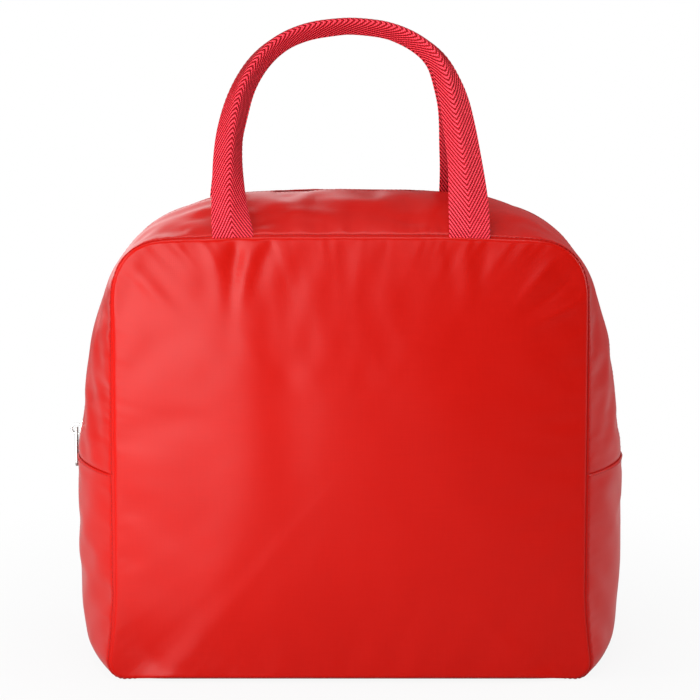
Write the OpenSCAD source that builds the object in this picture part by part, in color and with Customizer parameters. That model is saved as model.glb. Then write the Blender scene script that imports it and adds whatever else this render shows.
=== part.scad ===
// Soft insulated lunch bag with a zip top and two webbing handles, in millimetres.
// X is the width, -Y the front, +Z up. The origin is the middle of the base, on the floor.

/* [Body] */
// Width between the two side seams
body_w = 235; // [200:1:260]
// How much further out each side seam stands at the base
base_flare = 4.5; // [0:0.5:8]
// Height over which the side seams flare towards the base
flare_h = 45; // [30:1:60]
// Height of the top seam above the base
body_h = 220; // [200:1:240]
// Depth of the gusset strip between the front and rear panels
gusset_w = 122; // [100:1:150]
// Radius of the two bottom corners of the panels
bottom_r = 15; // [10:1:25]
// Radius of the two top corners of the panels
top_r = 32; // [22:1:45]
// Height of the side seams where the upper gusset meets the lower one
joint_h = 104; // [90:1:115]

/* [Swell] */
// How far the gusset swells at the sides
side_swell = 25; // [20:0.5:30]
// Swell of the sides where they meet the base
base_swell = 15.5; // [6:0.5:18]
// Height over which the sides reach their full swell
swell_reach = 60; // [50:1:80]
// Swell left at the top corners
corner_swell = 6; // [2:0.5:9]
// Swell of the shoulders just inside the top corners
shoulder_swell = 17.5; // [8:0.5:20]
// Swell of the top along the zip, at its middle
top_swell = 22; // [12:0.5:26]
// Inward slope of the sides beside the lower run of the zip, in degrees
side_slope = 7.2; // [0:0.1:8]
// How far the panels swell at their middle
panel_swell = 6; // [0:0.5:8]

/* [Layers] */
// Thickness of the outer cloth
cloth_t = 0.6; // [0.4:0.1:1]
// Thickness of the zip tape
tape_t = 0.5; // [0.3:0.1:0.8]
// Thickness of the foam
foam_t = 3; // [2:0.1:4]
// Thickness of the lining
lining_t = 0.4; // [0.3:0.1:0.8]
// Thickness of the binding inside the seams
binding_t = 0.8; // [0.5:0.1:1.2]
// Width of the binding
binding_w = 9; // [6:0.5:14]

/* [Zip] */
// Half of the gap between the two cloth edges beside the zip
cloth_edge = 5.3; // [5:0.1:7]
// Width of each zip tape under the cloth
tape_w = 10; // [7:0.5:14]
// Width of one coil
coil_w = 2.6; // [2:0.1:2.8]
// Height of one coil
coil_t = 1.4; // [1:0.1:1.6]
// Height of the slider's lower end above the side seam
slider_rise = 5; // [3:0.5:10]
// Length of the slider
slider_l = 12; // [10:0.5:14]
// Width of the slider
slider_w = 8.4; // [7.5:0.1:8.6]
// Thickness of each slider plate
plate_t = 1.1; // [0.9:0.1:1.3]
// Travel of the slider along the straight run
slider_travel = 45; // [20:1:45]
// Length of the puller below its pin
puller_l = 20; // [14:0.5:30]
// Width of the puller
puller_w = 5.4; // [4.8:0.1:7]
// Thickness of the puller
puller_t = 1.2; // [0.8:0.1:1.4]

/* [Handles] */
// Width of the webbing laid flat
web_w = 20; // [15:0.5:25]
// Thickness of the webbing
web_t = 1.4; // [1:0.1:2]
// Width of the webbing folded lengthwise in the grip
grip_w = 10.5; // [8:0.5:12]
// Depth of the folded grip
grip_t = 6; // [2.4:0.1:7]
// Distance between the middles of a handle's two feet
feet_span = 116; // [100:1:130]
// Span of the arch at its widest
arch_span = 119; // [100:1:134]
// Length of each leg below the arch
leg_l = 50; // [30:1:70]
// Height of the arch above the legs
arch_h = 71.5; // [60:0.5:80]
// Lean of the handles towards each other, in degrees
handle_lean = 29; // [20:0.5:29.5]
// How far the rear handle's left foot stands further out
rear_foot_shift = 11; // [0:1:12]

/* [Hidden] */
layer_gap = 0.1;      // between layers of one wall
body_gap = 0.3;       // between pieces that move apart
half_w = body_w / 2;
base_half_w = half_w + base_flare - bottom_r;   // of the flat part of the base
rim_y = gusset_w / 2;
joint_cut = body_gap / 2;

// depths of the layers under the outer face
tape_top = cloth_t + layer_gap;
foam_top = tape_top + tape_t + layer_gap;
lining_top = foam_top + foam_t + layer_gap;
wall_t = lining_top + lining_t;
panel_rim = rim_y + layer_gap;
panel_face = panel_rim + wall_t;

// divisions of the lofts
SIDE_STEPS = 4;
LOWER_CORNER_STEPS = 5;
UPPER_CORNER_STEPS = 6;
BASE_STEPS = 4;
TOP_STEPS = 5;
STRIP_STEPS = 4;
PANEL_STEPS = 8;
LEG_STEPS = 6;
ARCH_STEPS = 22;

CLOTH = "#d8251c";
FOAM = "white";
LINING = "silver";
TAPE = "#a81a1a";
WEBBING = "#e04352";
METAL = "gainsboro";

// ---- lofts ----

// a closed slab between two grids of points; rows cross columns gives the outward direction
module slab(outer, inner) {
    rows = len(outer);
    cols = len(outer[0]);
    count = rows * cols;
    o = function (i, j) i * cols + j;
    n = function (i, j) count + i * cols + j;
    points = [for (row = outer) each row, for (row = inner) each row];
    skins = [for (i = [0:rows - 2], j = [0:cols - 2]) each [
        [o(i, j), o(i, j + 1), o(i + 1, j + 1)],
        [o(i, j), o(i + 1, j + 1), o(i + 1, j)],
        [n(i, j), n(i + 1, j + 1), n(i, j + 1)],
        [n(i, j), n(i + 1, j), n(i + 1, j + 1)]]];
    first_row = [for (j = [0:cols - 2]) each [
        [o(0, j), n(0, j), n(0, j + 1)],
        [o(0, j), n(0, j + 1), o(0, j + 1)]]];
    last = rows - 1;
    last_row = [for (j = [0:cols - 2]) each [
        [o(last, j), o(last, j + 1), n(last, j + 1)],
        [o(last, j), n(last, j + 1), n(last, j)]]];
    first_col = [for (i = [0:rows - 2]) each [
        [o(i, 0), o(i + 1, 0), n(i + 1, 0)],
        [o(i, 0), n(i + 1, 0), n(i, 0)]]];
    end = cols - 1;
    last_col = [for (i = [0:rows - 2]) each [
        [o(i, end), n(i, end), n(i + 1, end)],
        [o(i, end), n(i + 1, end), o(i + 1, end)]]];
    polyhedron(points, concat(skins, first_row, last_row, first_col, last_col), convexity = 6);
}

// a closed tube through rings of points
module tube(rings) {
    rows = len(rings);
    sides = len(rings[0]);
    at = function (i, j) i * sides + j % sides;
    walls = [for (i = [0:rows - 2], j = [0:sides - 1]) each [
        [at(i, j), at(i + 1, j + 1), at(i, j + 1)],
        [at(i, j), at(i + 1, j), at(i + 1, j + 1)]]];
    first_cap = [for (j = [0:sides - 1]) j];
    last_cap = [for (j = [sides - 1:-1:0]) (rows - 1) * sides + j];
    polyhedron([for (ring = rings) each ring], concat(walls, [first_cap, last_cap]), convexity = 6);
}

// ---- the seam outline: stations of [x, z, normal x, normal z, swell, swell's x, swell's z] ----

function lower_swell(z) = base_swell
    + (side_swell - base_swell) * (1 - pow(1 - min(z, swell_reach) / swell_reach, 2.2));

side_l = body_h - top_r - joint_h;
corner_l = top_r * PI / 2;
tight_corner = side_l + corner_l * 0.4;
shoulder_run = 45;   // distance from the tight corner to the shoulder
straight_run = slider_rise + slider_l + slider_travel + 2;
run_swell = side_swell - straight_run * tan(side_slope);
top_l = half_w - top_r + corner_l * 0.6;

// swell at a distance along the outline above the side seam
function upper_swell(a) =
    a <= straight_run ? side_swell - a * tan(side_slope) :
    a <= tight_corner
        ? run_swell - (run_swell - corner_swell)
            * pow((a - straight_run) / (tight_corner - straight_run), 1.3)
        : corner_swell + (shoulder_swell - corner_swell) * eased((a - tight_corner) / shoulder_run)
            + (top_swell - shoulder_swell) * sin(90 * (a - tight_corner) / top_l);

function flare(z) = base_flare * pow(1 - min(z, flare_h) / flare_h, 1.5);
function eased(t) = t >= 1 ? 1 : t * t * (3 - 2 * t);
function mirrored(s) = [-s[0], s[1], -s[2], s[3], s[4], -s[5], s[6]];
function reversed(list) = [for (i = [len(list) - 1:-1:0]) list[i]];
function steps(from, to, count) = [for (i = [0:count]) from + (to - from) * i / count];
function but_first(list) = [for (i = [1:len(list) - 1]) list[i]];

lower_half = [
    each [for (z = steps(joint_h - joint_cut, bottom_r, SIDE_STEPS))
        [half_w + flare(z), z, 1, 0, lower_swell(z), 1, 0]],
    each [for (t = but_first(steps(0, 90, LOWER_CORNER_STEPS)))
        let (z = bottom_r * (1 - sin(t)))
        [half_w + flare(z) - bottom_r * (1 - cos(t)), z, cos(t), -sin(t), lower_swell(z), 1, 0]],
    each [for (u = but_first(steps(1, 0, BASE_STEPS)))
        [u * base_half_w, 0, 0, -1, base_swell * u, 1, 0]],
];
lower_path = concat(lower_half, but_first(reversed([for (s = lower_half) mirrored(s)])));

upper_half = [
    each [for (a = steps(joint_cut, side_l, SIDE_STEPS))
        [half_w, joint_h + a, 1, 0, upper_swell(a), 1, 0]],
    each [for (t = but_first(steps(0, 90, UPPER_CORNER_STEPS)))
        [half_w - top_r * (1 - cos(t)), body_h - top_r * (1 - sin(t)), cos(t), sin(t),
            upper_swell(side_l + top_r * t * PI / 180), cos(t), sin(t)]],
    each [for (x = but_first(steps(half_w - top_r, 0, TOP_STEPS)))
        [x, body_h, 0, 1, upper_swell(side_l + corner_l + half_w - top_r - x), 0, 1]],
];
upper_path = concat([for (s = upper_half) mirrored(s)], but_first(reversed(upper_half)));

// a point of the gusset wall: station, place across the strip, depth under the outer face
function wall_point(s, y, depth) =
    let (
        v = y / rim_y,
        swell = s[4] * (1 - v * v),
        slope = 2 * s[4] * v / rim_y * (s[5] * s[2] + s[6] * s[3]),
        in = depth * sqrt(1 + slope * slope))
    [s[0] + s[5] * swell - s[2] * in, y, s[1] + s[6] * swell - s[3] * in];

// a strip of the gusset wall; columns are [y, depth of the outer face, depth of the inner face]
module strip(path, columns)
    slab(
        [for (s = path) [for (c = columns) wall_point(s, c[0], c[1])]],
        [for (s = path) [for (c = columns) wall_point(s, c[0], c[2])]]);

// columns across the front half of the gusset, shared by every layer so that they stay parallel
slider_half = slider_w / 2;
tape_edge = slider_half + body_gap;
tape_far = tape_edge + tape_w;
binding_edge = rim_y - binding_w;
front_binding_columns = [-rim_y, -binding_edge];
rear_binding_columns = [binding_edge, rim_y];
tape_columns = [-tape_far, -cloth_edge, -tape_edge];
front_columns = [-rim_y, each steps(-binding_edge, -tape_far, STRIP_STEPS - 2), -cloth_edge];
lower_columns = [-rim_y, each steps(-binding_edge, binding_edge, 2 * STRIP_STEPS - 2), rim_y];

function layer(columns, top, thick) = [for (y = columns) [y, top, top + thick]];

// ---- panels ----

function panel_swell_at(x, z, edge) =
    panel_swell * (1 - pow(x / edge, 2)) * (1 - pow(2 * z / body_h - 1, 2));

// a layer of the front panel; rows are [half width, z]
module panel_layer(rows, depth, thick, inset) {
    face = function (row, depth) [for (u = steps(1, -1, PANEL_STEPS))
        let (x = u * (row[0] - inset))
        [x, depth - panel_face - panel_swell_at(x, row[1], row[0]), row[1]]];
    slab([for (row = rows) face(row, depth)], [for (row = rows) face(row, depth + thick)]);
}

lower_rows = reversed([for (i = [0:SIDE_STEPS + LOWER_CORNER_STEPS])
    [lower_half[i][0], lower_half[i][1]]]);
upper_rows = [for (i = [0:SIDE_STEPS + UPPER_CORNER_STEPS])
    [upper_half[i][0], upper_half[i][1]]];

module panel_cloth(rows) color(CLOTH) panel_layer(rows, 0, cloth_t, 0);
module panel_foam(rows) color(FOAM) panel_layer(rows, foam_top, foam_t, 1);
module panel_lining(rows) color(LINING) panel_layer(rows, lining_top, lining_t, 1);

// ---- gusset and zip ----

module lower_gusset(top, thick) strip(lower_path, layer(lower_columns, top, thick));
module top_gusset(top, thick) strip(upper_path, layer(front_columns, top, thick));

module top_gusset_cloth() color(CLOTH) top_gusset(0, cloth_t);
module top_gusset_foam() color(FOAM) top_gusset(foam_top, foam_t);
module top_gusset_lining() color(LINING) top_gusset(lining_top, lining_t);

module zip_tape() color(TAPE) strip(upper_path, layer(tape_columns, tape_top, tape_t));

// the coil lies under the tape's own edge, which runs in the slider's side slot
slider_post = 3;
coil_start = slider_rise + slider_post + body_gap;
coil_path = [for (s = upper_path) if (s[1] > joint_h + coil_start || s[0] > 0) s];
coil_first = [-half_w, joint_h + coil_start, -1, 0, upper_swell(coil_start), -1, 0];
module zip_coil() color(TAPE) {
    edge = joint_cut + coil_w;
    strip(concat([coil_first], coil_path), [
        [-tape_edge + layer_gap, tape_top, tape_top + tape_t],
        [-edge - layer_gap, tape_top, tape_top + tape_t],
        [-edge, tape_top, tape_top + coil_t],
        [-joint_cut, tape_top, tape_top + coil_t]]);
}

module binding(path, columns) color(TAPE)
    strip(path, layer(columns, wall_t + layer_gap, binding_t));

// ---- handles ----

handle_y = panel_face + web_t / 2 + body_gap;
handle_z = body_h + web_t / 2 + body_gap;
ARCH_POWER = 2 / 2.3;
FOLD_LENGTH = 30;   // distance over which the webbing folds into the grip

function signed_power(v, p) = sign(v) * pow(abs(v), p);

// the middle of the webbing in the plane of the handle: [x, distance from the foot]
function leg_x(h) = (feet_span + (arch_span - feet_span) * h / leg_l) / 2;
function handle_route(shift) = [
    each [for (h = steps(0, leg_l, LEG_STEPS)) [-leg_x(h) - foot_spread(shift, h), h]],
    each [for (t = steps(180, 0, ARCH_STEPS)) if (t > 0 && t < 180)
        let (h = leg_l + arch_h * signed_power(sin(t), ARCH_POWER))
        [arch_span / 2 * signed_power(cos(t), ARCH_POWER) - (t > 90 ? foot_spread(shift, h) : 0), h]],
    each [for (h = steps(leg_l, 0, LEG_STEPS)) [leg_x(h), h]],
];
function foot_spread(shift, h) = shift * pow(1 - h / (leg_l + arch_h), 2);

// a rounded rectangle of eight points
function web_section(a, b) =
    let (c = b * 0.7)
    [[a, b - c], [a - c, b], [c - a, b], [-a, b - c], [-a, c - b], [c - a, -b], [a - c, -b], [a, c - b]];

module handle(shift) {
    route = handle_route(shift);
    last = len(route) - 1;
    color(WEBBING) tube([for (i = [0:last])
        let (
            ahead = route[min(i + 1, last)],
            behind = route[max(i - 1, 0)],
            run = i == 0 || i == last ? [0, i == 0 ? 1 : -1] : ahead - behind,
            along = run / norm(run),
            flat = exp(-route[i][1] / FOLD_LENGTH),
            half_width = (grip_w + (web_w - grip_w) * flat) / 2,
            half_thick = (grip_t + (web_t - grip_t) * flat) / 2)
        [for (p = web_section(half_width, half_thick))
            let (x = route[i][0] + along[1] * p[0], h = route[i][1] - along[0] * p[0])
            [x,
                -handle_y + h * sin(handle_lean) + p[1] * cos(handle_lean),
                handle_z + h * cos(handle_lean) - p[1] * sin(handle_lean)]]]);
}

// ---- slider and puller ----

// depths below the outer face, from the coil that the slider holds
slot_top = tape_top - 0.4;
slot_bottom = tape_top + coil_t + 0.4;
slider_nose = 2;           // length of the tapered lower end
pin_r = 0.6;
bridge_rise = 2.2;         // middle of the pin above the outer plate
bridge_w = 1.8;
bridge_t = 0.9;
pin_along = slider_l * 0.55;

// the frame of the slider: X along its travel, Z out of the bag, origin at its lower end
module on_zip() {
    translate([-half_w - side_swell + slider_rise * tan(side_slope), 0, joint_h + slider_rise])
        rotate([0, side_slope - 90, 0])
            children();
}

module slider_outline() {
    polygon([
        [0, -slider_half + slider_nose / 2], [slider_nose, -slider_half],
        [slider_l * 0.6, -slider_half], [slider_l, -slider_half * 0.75],
        [slider_l, slider_half * 0.75], [slider_l * 0.6, slider_half],
        [slider_nose, slider_half], [0, slider_half - slider_nose / 2]]);
}

pin_height = plate_t - slot_top + bridge_rise;

module zip_slider() color(METAL) on_zip() {
    difference() {
        union() {
            translate([0, 0, -slot_top]) linear_extrude(plate_t) slider_outline();
            translate([0, 0, -slot_bottom - plate_t]) linear_extrude(plate_t) slider_outline();
            translate([0.8, -0.9, -slot_bottom - plate_t / 2])
                cube([slider_post - 0.8, 1.8, slot_bottom - slot_top + plate_t]);
            // bridge that carries the puller's pin
            translate([0, bridge_w / 2, 0]) rotate([90, 0, 0]) linear_extrude(bridge_w)
                difference() {
                    union() {
                        translate([pin_along - 3, plate_t / 2 - slot_top])
                            square([6, pin_height - plate_t / 2 + slot_top]);
                        translate([pin_along, pin_height]) circle(r = 3, $fn = 48);
                    }
                    translate([pin_along, pin_height]) circle(r = 3 - bridge_t, $fn = 48);
                    translate([pin_along - 3 + bridge_t, plate_t - slot_top])
                        square([6 - 2 * bridge_t, pin_height - plate_t + slot_top]);
                }
        }
    }
}

// the pin's middle in the frame of the bag
pin_dx = pin_along * sin(side_slope) - pin_height * cos(side_slope);
pin_dz = pin_along * cos(side_slope) + pin_height * sin(side_slope);
pin_x = -half_w - side_swell + slider_rise * tan(side_slope) + pin_dx;
pin_z = joint_h + slider_rise + pin_dz;

module zip_puller() {
    arm_in = bridge_w / 2 + body_gap;
    arm_w = puller_w / 2 - arm_in;
    plate_top = 4.5;
    color(METAL) translate([pin_x, 0, pin_z]) {
        rotate([90, 0, 0]) cylinder(r = pin_r, h = puller_w, center = true, $fn = 32);
        for (side = [-1, 1]) translate([0, side * (arm_in + arm_w / 2), 0]) {
            rotate([90, 0, 0]) cylinder(d = puller_t, h = arm_w, center = true, $fn = 32);
            translate([-puller_t / 2, -arm_w / 2, -plate_top]) cube([puller_t, arm_w, plate_top]);
        }
        rotate([0, 90, 0]) linear_extrude(puller_t, center = true) difference() {
            union() {
                translate([plate_top - 0.01, -puller_w / 2])
                    square([puller_l - plate_top - puller_w / 2 + 0.01, puller_w]);
                translate([puller_l - puller_w / 2, 0]) circle(d = puller_w, $fn = 48);
            }
            translate([puller_l - 7.5, -0.9]) square([4.5, 1.8]);
            translate([puller_l - 7.5, 0]) circle(d = 1.8, $fn = 32);
            translate([puller_l - 3, 0]) circle(d = 1.8, $fn = 32);
        }
    }
}

module to_rear() mirror([0, 1, 0]) children();

// ---- nodes ----

module lower_gusset_cloth() color(CLOTH) lower_gusset(0, cloth_t);
module lower_gusset_foam() color(FOAM) lower_gusset(foam_top, foam_t);
module lower_gusset_lining() color(LINING) lower_gusset(lining_top, lining_t);
module front_panel_lower_cloth() panel_cloth(lower_rows);
module front_panel_lower_foam() panel_foam(lower_rows);
module front_panel_lower_lining() panel_lining(lower_rows);
module rear_panel_lower_cloth() to_rear() panel_cloth(lower_rows);
module rear_panel_lower_foam() to_rear() panel_foam(lower_rows);
module rear_panel_lower_lining() to_rear() panel_lining(lower_rows);
module front_binding_lower() binding(lower_path, front_binding_columns);
module rear_binding_lower() binding(lower_path, rear_binding_columns);
module front_panel_upper_cloth() panel_cloth(upper_rows);
module front_panel_upper_foam() panel_foam(upper_rows);
module front_panel_upper_lining() panel_lining(upper_rows);
module front_top_gusset_cloth() top_gusset_cloth();
module front_top_gusset_foam() top_gusset_foam();
module front_top_gusset_lining() top_gusset_lining();
module front_zip_tape() zip_tape();
module front_zip_coil() zip_coil();
module front_binding_upper() binding(upper_path, front_binding_columns);
module rear_panel_upper_cloth() to_rear() panel_cloth(upper_rows);
module rear_panel_upper_foam() to_rear() panel_foam(upper_rows);
module rear_panel_upper_lining() to_rear() panel_lining(upper_rows);
module rear_top_gusset_cloth() to_rear() top_gusset_cloth();
module rear_top_gusset_foam() to_rear() top_gusset_foam();
module rear_top_gusset_lining() to_rear() top_gusset_lining();
module rear_zip_tape() to_rear() zip_tape();
module rear_zip_coil() to_rear() zip_coil();
module rear_binding_upper() to_rear() binding(upper_path, front_binding_columns);
module front_handle() handle(0);
module rear_handle() to_rear() handle(rear_foot_shift);

lower_gusset_cloth();
lower_gusset_foam();
lower_gusset_lining();
front_panel_lower_cloth();
front_panel_lower_foam();
front_panel_lower_lining();
rear_panel_lower_cloth();
rear_panel_lower_foam();
rear_panel_lower_lining();
front_binding_lower();
rear_binding_lower();
front_panel_upper_cloth();
front_panel_upper_foam();
front_panel_upper_lining();
front_top_gusset_cloth();
front_top_gusset_foam();
front_top_gusset_lining();
front_zip_tape();
front_zip_coil();
front_binding_upper();
rear_panel_upper_cloth();
rear_panel_upper_foam();
rear_panel_upper_lining();
rear_top_gusset_cloth();
rear_top_gusset_foam();
rear_top_gusset_lining();
rear_zip_tape();
rear_zip_coil();
rear_binding_upper();
front_handle();
rear_handle();
zip_slider();
zip_puller();
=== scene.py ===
"""Dresses a soft, red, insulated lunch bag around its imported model.

Lengths are in millimetres until a mesh is made, and the frame is the model's own: X to the
right, -Y out of the front panel, +Z up, the origin in the middle of the base.
"""

from __future__ import annotations

import logging
import math
from dataclasses import dataclass
from enum import Enum
from typing import Callable, Sequence

import bmesh
import bpy
import numpy as np
from mathutils import Euler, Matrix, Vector

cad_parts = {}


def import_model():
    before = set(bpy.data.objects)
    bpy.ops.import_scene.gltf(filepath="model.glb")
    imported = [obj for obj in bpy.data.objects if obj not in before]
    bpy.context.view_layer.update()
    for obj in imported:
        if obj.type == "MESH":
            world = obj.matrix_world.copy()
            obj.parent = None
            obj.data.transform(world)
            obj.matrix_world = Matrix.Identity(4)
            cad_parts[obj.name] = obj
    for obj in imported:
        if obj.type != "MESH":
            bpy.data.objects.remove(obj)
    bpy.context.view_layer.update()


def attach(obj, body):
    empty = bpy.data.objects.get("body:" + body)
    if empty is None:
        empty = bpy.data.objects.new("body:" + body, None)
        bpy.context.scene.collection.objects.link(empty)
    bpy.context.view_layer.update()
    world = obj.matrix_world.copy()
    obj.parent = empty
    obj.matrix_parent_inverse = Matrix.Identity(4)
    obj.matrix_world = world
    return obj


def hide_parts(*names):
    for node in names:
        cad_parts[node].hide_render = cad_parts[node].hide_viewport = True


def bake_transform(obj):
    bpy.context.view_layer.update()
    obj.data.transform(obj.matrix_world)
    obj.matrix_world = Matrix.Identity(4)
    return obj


MM = 0.001
LOG = logging.getLogger("lunch_bag")
Array = np.ndarray
Colour = tuple[float, float, float]
Place = tuple[float, float]


class Side(Enum):
    """The two faces of the bag. The value is the sign of Y there."""

    FRONT = -1
    REAR = 1

    @property
    def label(self) -> str:
        """The word that the model's names start with."""
        return self.name.lower()

    @property
    def mouth(self) -> str:
        """The body that the upper half of this side rides on."""
        return f"{self.label}_mouth"


BASE_BODY = "lower_body"

# How far past the seam line the last row of a turned-in edge is
TURNED = 0.06

# How many waves a ripple adds up, and their shortest and longest share of its wavelength
WAVES = 5
SHORTEST, LONGEST = 0.6, 1.7


# ---------------------------------------------------------------- shader graph


class Wire:
    """A node's output that takes part in arithmetic."""

    def __init__(self, graph: "Graph", socket: bpy.types.NodeSocket) -> None:
        """Wraps a socket.

        Args:
            graph: The graph that new Math nodes go to.
            socket: The output that is wrapped.
        """
        self.graph = graph
        self.socket = socket

    def _math(self, operation: str, left: object, right: object) -> "Wire":
        """Adds one Math node and returns its output."""
        return self.graph.node("ShaderNodeMath", {"operation": operation}, [left, right])

    def __add__(self, other: object) -> "Wire":
        """self + other."""
        return self._math("ADD", self, other)

    def __sub__(self, other: object) -> "Wire":
        """self - other."""
        return self._math("SUBTRACT", self, other)

    def __rsub__(self, other: object) -> "Wire":
        """other - self."""
        return self._math("SUBTRACT", other, self)

    def __mul__(self, other: object) -> "Wire":
        """self * other."""
        return self._math("MULTIPLY", self, other)

    def __abs__(self) -> "Wire":
        """The distance from zero."""
        return self._math("ABSOLUTE", self, 0.0)


class Graph:
    """The node tree of one material or of the world."""

    def __init__(self, tree: bpy.types.NodeTree) -> None:
        """Empties the tree.

        Args:
            tree: The node tree to build in.
        """
        self.tree = tree
        tree.nodes.clear()

    def node(
        self,
        kind: str,
        settings: dict[str, object] | None = None,
        sockets: dict[object, object] | Sequence[object] | None = None,
        output: str | int = 0,
    ) -> Wire:
        """Adds a node.

        Args:
            kind: The node's type.
            settings: Its properties, set before its sockets.
            sockets: The values or links of its inputs, by name or in order.
            output: The output that is returned, by name or index.

        Returns:
            The output as a wire.
        """
        made = self.tree.nodes.new(kind)
        for name, value in (settings or {}).items():
            setattr(made, name, value)
        pairs = sockets.items() if isinstance(sockets, dict) else enumerate(sockets or [])
        for key, value in pairs:
            target = made.inputs[key]
            if isinstance(value, Wire):
                self.tree.links.new(value.socket, target)
            else:
                target.default_value = self._fitted(target, value)
        return Wire(self, made.outputs[output]) if made.outputs else Wire(self, None)

    @staticmethod
    def _fitted(target: bpy.types.NodeSocket, value: object) -> object:
        """Gives a colour its alpha where the socket takes four numbers."""
        lacks_alpha = target.type == "RGBA" and len(value) == 3
        return (*value, 1.0) if lacks_alpha else value

    def place(self) -> Wire:
        """The point in the object's own coordinates, in metres."""
        return self.node("ShaderNodeTexCoord", output="Object")

    def stretched(self, vector: Wire, scale: Colour) -> Wire:
        """Scales a vector along each axis."""
        return self.node("ShaderNodeVectorMath", {"operation": "MULTIPLY"}, [vector, scale])

    def noise(self, vector: Wire, scale: float, detail: float = 3.0) -> Wire:
        """A grey noise about 0.5.

        Args:
            vector: Where it is read.
            scale: How many features there are to a unit.
            detail: How many octaves it has.

        Returns:
            The noise.
        """
        inputs = {"Vector": vector, "Scale": scale, "Detail": detail}
        return self.node("ShaderNodeTexNoise", {}, inputs, "Fac")

    def fibres(self, vector: Wire, scale: Colour) -> Wire:
        """A noise with its own scale along each axis."""
        return self.noise(self.stretched(vector, scale), 1.0, 2.0)

    def axis(self, vector: Wire, name: str) -> Wire:
        """One coordinate of a vector."""
        return self.node("ShaderNodeSeparateXYZ", {}, [vector], name)

    def ribs(self, coordinate: Wire, pitch: float) -> Wire:
        """A smooth rib pattern from 0 to 1 along a coordinate."""
        turns = coordinate * (2 * math.pi / pitch)
        return self.node("ShaderNodeMath", {"operation": "SINE"}, [turns]) * 0.5 + 0.5

    def ramp(self, value: Wire, low: float, high: float) -> Wire:
        """0 up to a low value, 1 from a high value on, and straight in between.

        Args:
            value: The value that is read.
            low: Where the ramp starts.
            high: Where it ends.

        Returns:
            The ramp's output.
        """
        made = self.node("ShaderNodeValToRGB", {}, [value])
        stops = made.socket.node.color_ramp.elements
        stops[0].position, stops[1].position = low, high
        return made

    def between(self, factor: object, low: object, high: object) -> Wire:
        """Mixes two colours."""
        made = {"data_type": "RGBA", "clamp_factor": True}
        return self.node("ShaderNodeMix", made, {0: factor, 6: low, 7: high}, 2)

    def bump(self, height: Wire, distance: float) -> Wire:
        """A normal bumped by a height from 0 to 1 over a distance in metres."""
        return self.node("ShaderNodeBump", {}, {"Distance": distance, "Height": height})

    def surface(self, **values: object) -> None:
        """Adds the Principled shader and the output.

        Args:
            **values: The shader's inputs, with underscores for spaces.
        """
        inputs = {name.replace("_", " "): value for name, value in values.items()}
        shader = self.node("ShaderNodeBsdfPrincipled", {}, inputs, "BSDF")
        self.node("ShaderNodeOutputMaterial", {}, {"Surface": shader})


def new_material(name: str, level: Colour) -> tuple[bpy.types.Material, Graph]:
    """Makes an empty material.

    Args:
        name: Its name.
        level: The colour that it shows in a plain view.

    Returns:
        The material and its graph.
    """
    material = bpy.data.materials.new(name)
    material.use_nodes = True
    material.diffuse_color = (*level, 1.0)
    return material, Graph(material.node_tree)


# ---------------------------------------------------------------- finishes


def shaded(colour: Colour, share: float) -> Colour:
    """A darker or lighter version of a colour."""
    return tuple(level * share for level in colour)


@dataclass(frozen=True)
class Finish:
    """A material's name and main colour, and how its shader is built."""

    name: str
    colour: Colour

    def build(self) -> bpy.types.Material:
        """Makes the material.

        Returns:
            The material.
        """
        material, graph = new_material(self.name, self.colour)
        self.paint(graph)
        return material

    def paint(self, graph: Graph) -> None:
        """Builds the shader."""
        raise NotImplementedError


@dataclass(frozen=True)
class ClothFinish(Finish):
    """Smooth plain-woven polyester with a soft gloss."""

    name: str = "red_polyester"
    colour: Colour = (0.41, 0.0033, 0.0010)
    worn: Colour = (0.465, 0.0048, 0.0018)
    roughness: float = 0.25
    uneven: float = 0.1
    ior: float = 1.22
    thread: float = 0.0009
    streak: tuple[float, float] = (60, 2600)
    relief: float = 0.00005

    def paint(self, graph: Graph) -> None:
        """Builds the shader: streaky yarn, a plain weave and a cloudy tone.

        Args:
            graph: The material's graph.
        """
        place = graph.place()
        long, short = self.streak
        across = graph.fibres(place, (long, long, short))
        streaks = across * 0.5 + graph.fibres(place, (short, short, long)) * 0.5
        rows = graph.ribs(graph.axis(place, "Z"), self.thread)
        columns = graph.ribs(graph.axis(place, "X") + graph.axis(place, "Y"), self.thread)
        tone = graph.ramp(streaks * 0.6 + graph.noise(place, 14.0) * 0.4, 0.3, 0.7)
        graph.surface(
            Base_Color=graph.between(tone, self.colour, self.worn),
            Roughness=streaks * self.uneven + self.roughness,
            IOR=self.ior,
            Normal=graph.bump(rows * columns * 0.2 + streaks * 0.8, self.relief),
        )


@dataclass(frozen=True)
class RibbonFinish(Finish):
    """A narrow woven tape, as on the zip and inside the seams."""

    name: str = "zip_tape"
    colour: Colour = (0.42, 0.012, 0.012)
    pitch: float = 0.0007
    relief: float = 0.00012

    def paint(self, graph: Graph) -> None:
        """Builds the shader: fine ribs and a little wear.

        Args:
            graph: The material's graph.
        """
        place = graph.place()
        rows = graph.ribs(graph.axis(place, "Z") + graph.axis(place, "X"), self.pitch)
        tone = rows * 0.6 + graph.noise(place, 400.0) * 0.4
        graph.surface(
            Base_Color=graph.between(tone, shaded(self.colour, 0.6), self.colour),
            Roughness=0.75,
            IOR=1.3,
            Normal=graph.bump(rows, self.relief),
        )


@dataclass(frozen=True)
class FoamFinish(Finish):
    """Closed-cell foam sheet."""

    name: str = "white_foam"
    colour: Colour = (0.82, 0.82, 0.80)
    relief: float = 0.0004

    def paint(self, graph: Graph) -> None:
        """Builds the shader: fine cells.

        Args:
            graph: The material's graph.
        """
        cells = graph.noise(graph.place(), 900.0, 2.0)
        graph.surface(
            Base_Color=graph.between(cells, shaded(self.colour, 0.8), self.colour),
            Roughness=0.9,
            Normal=graph.bump(cells, self.relief),
        )


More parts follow.
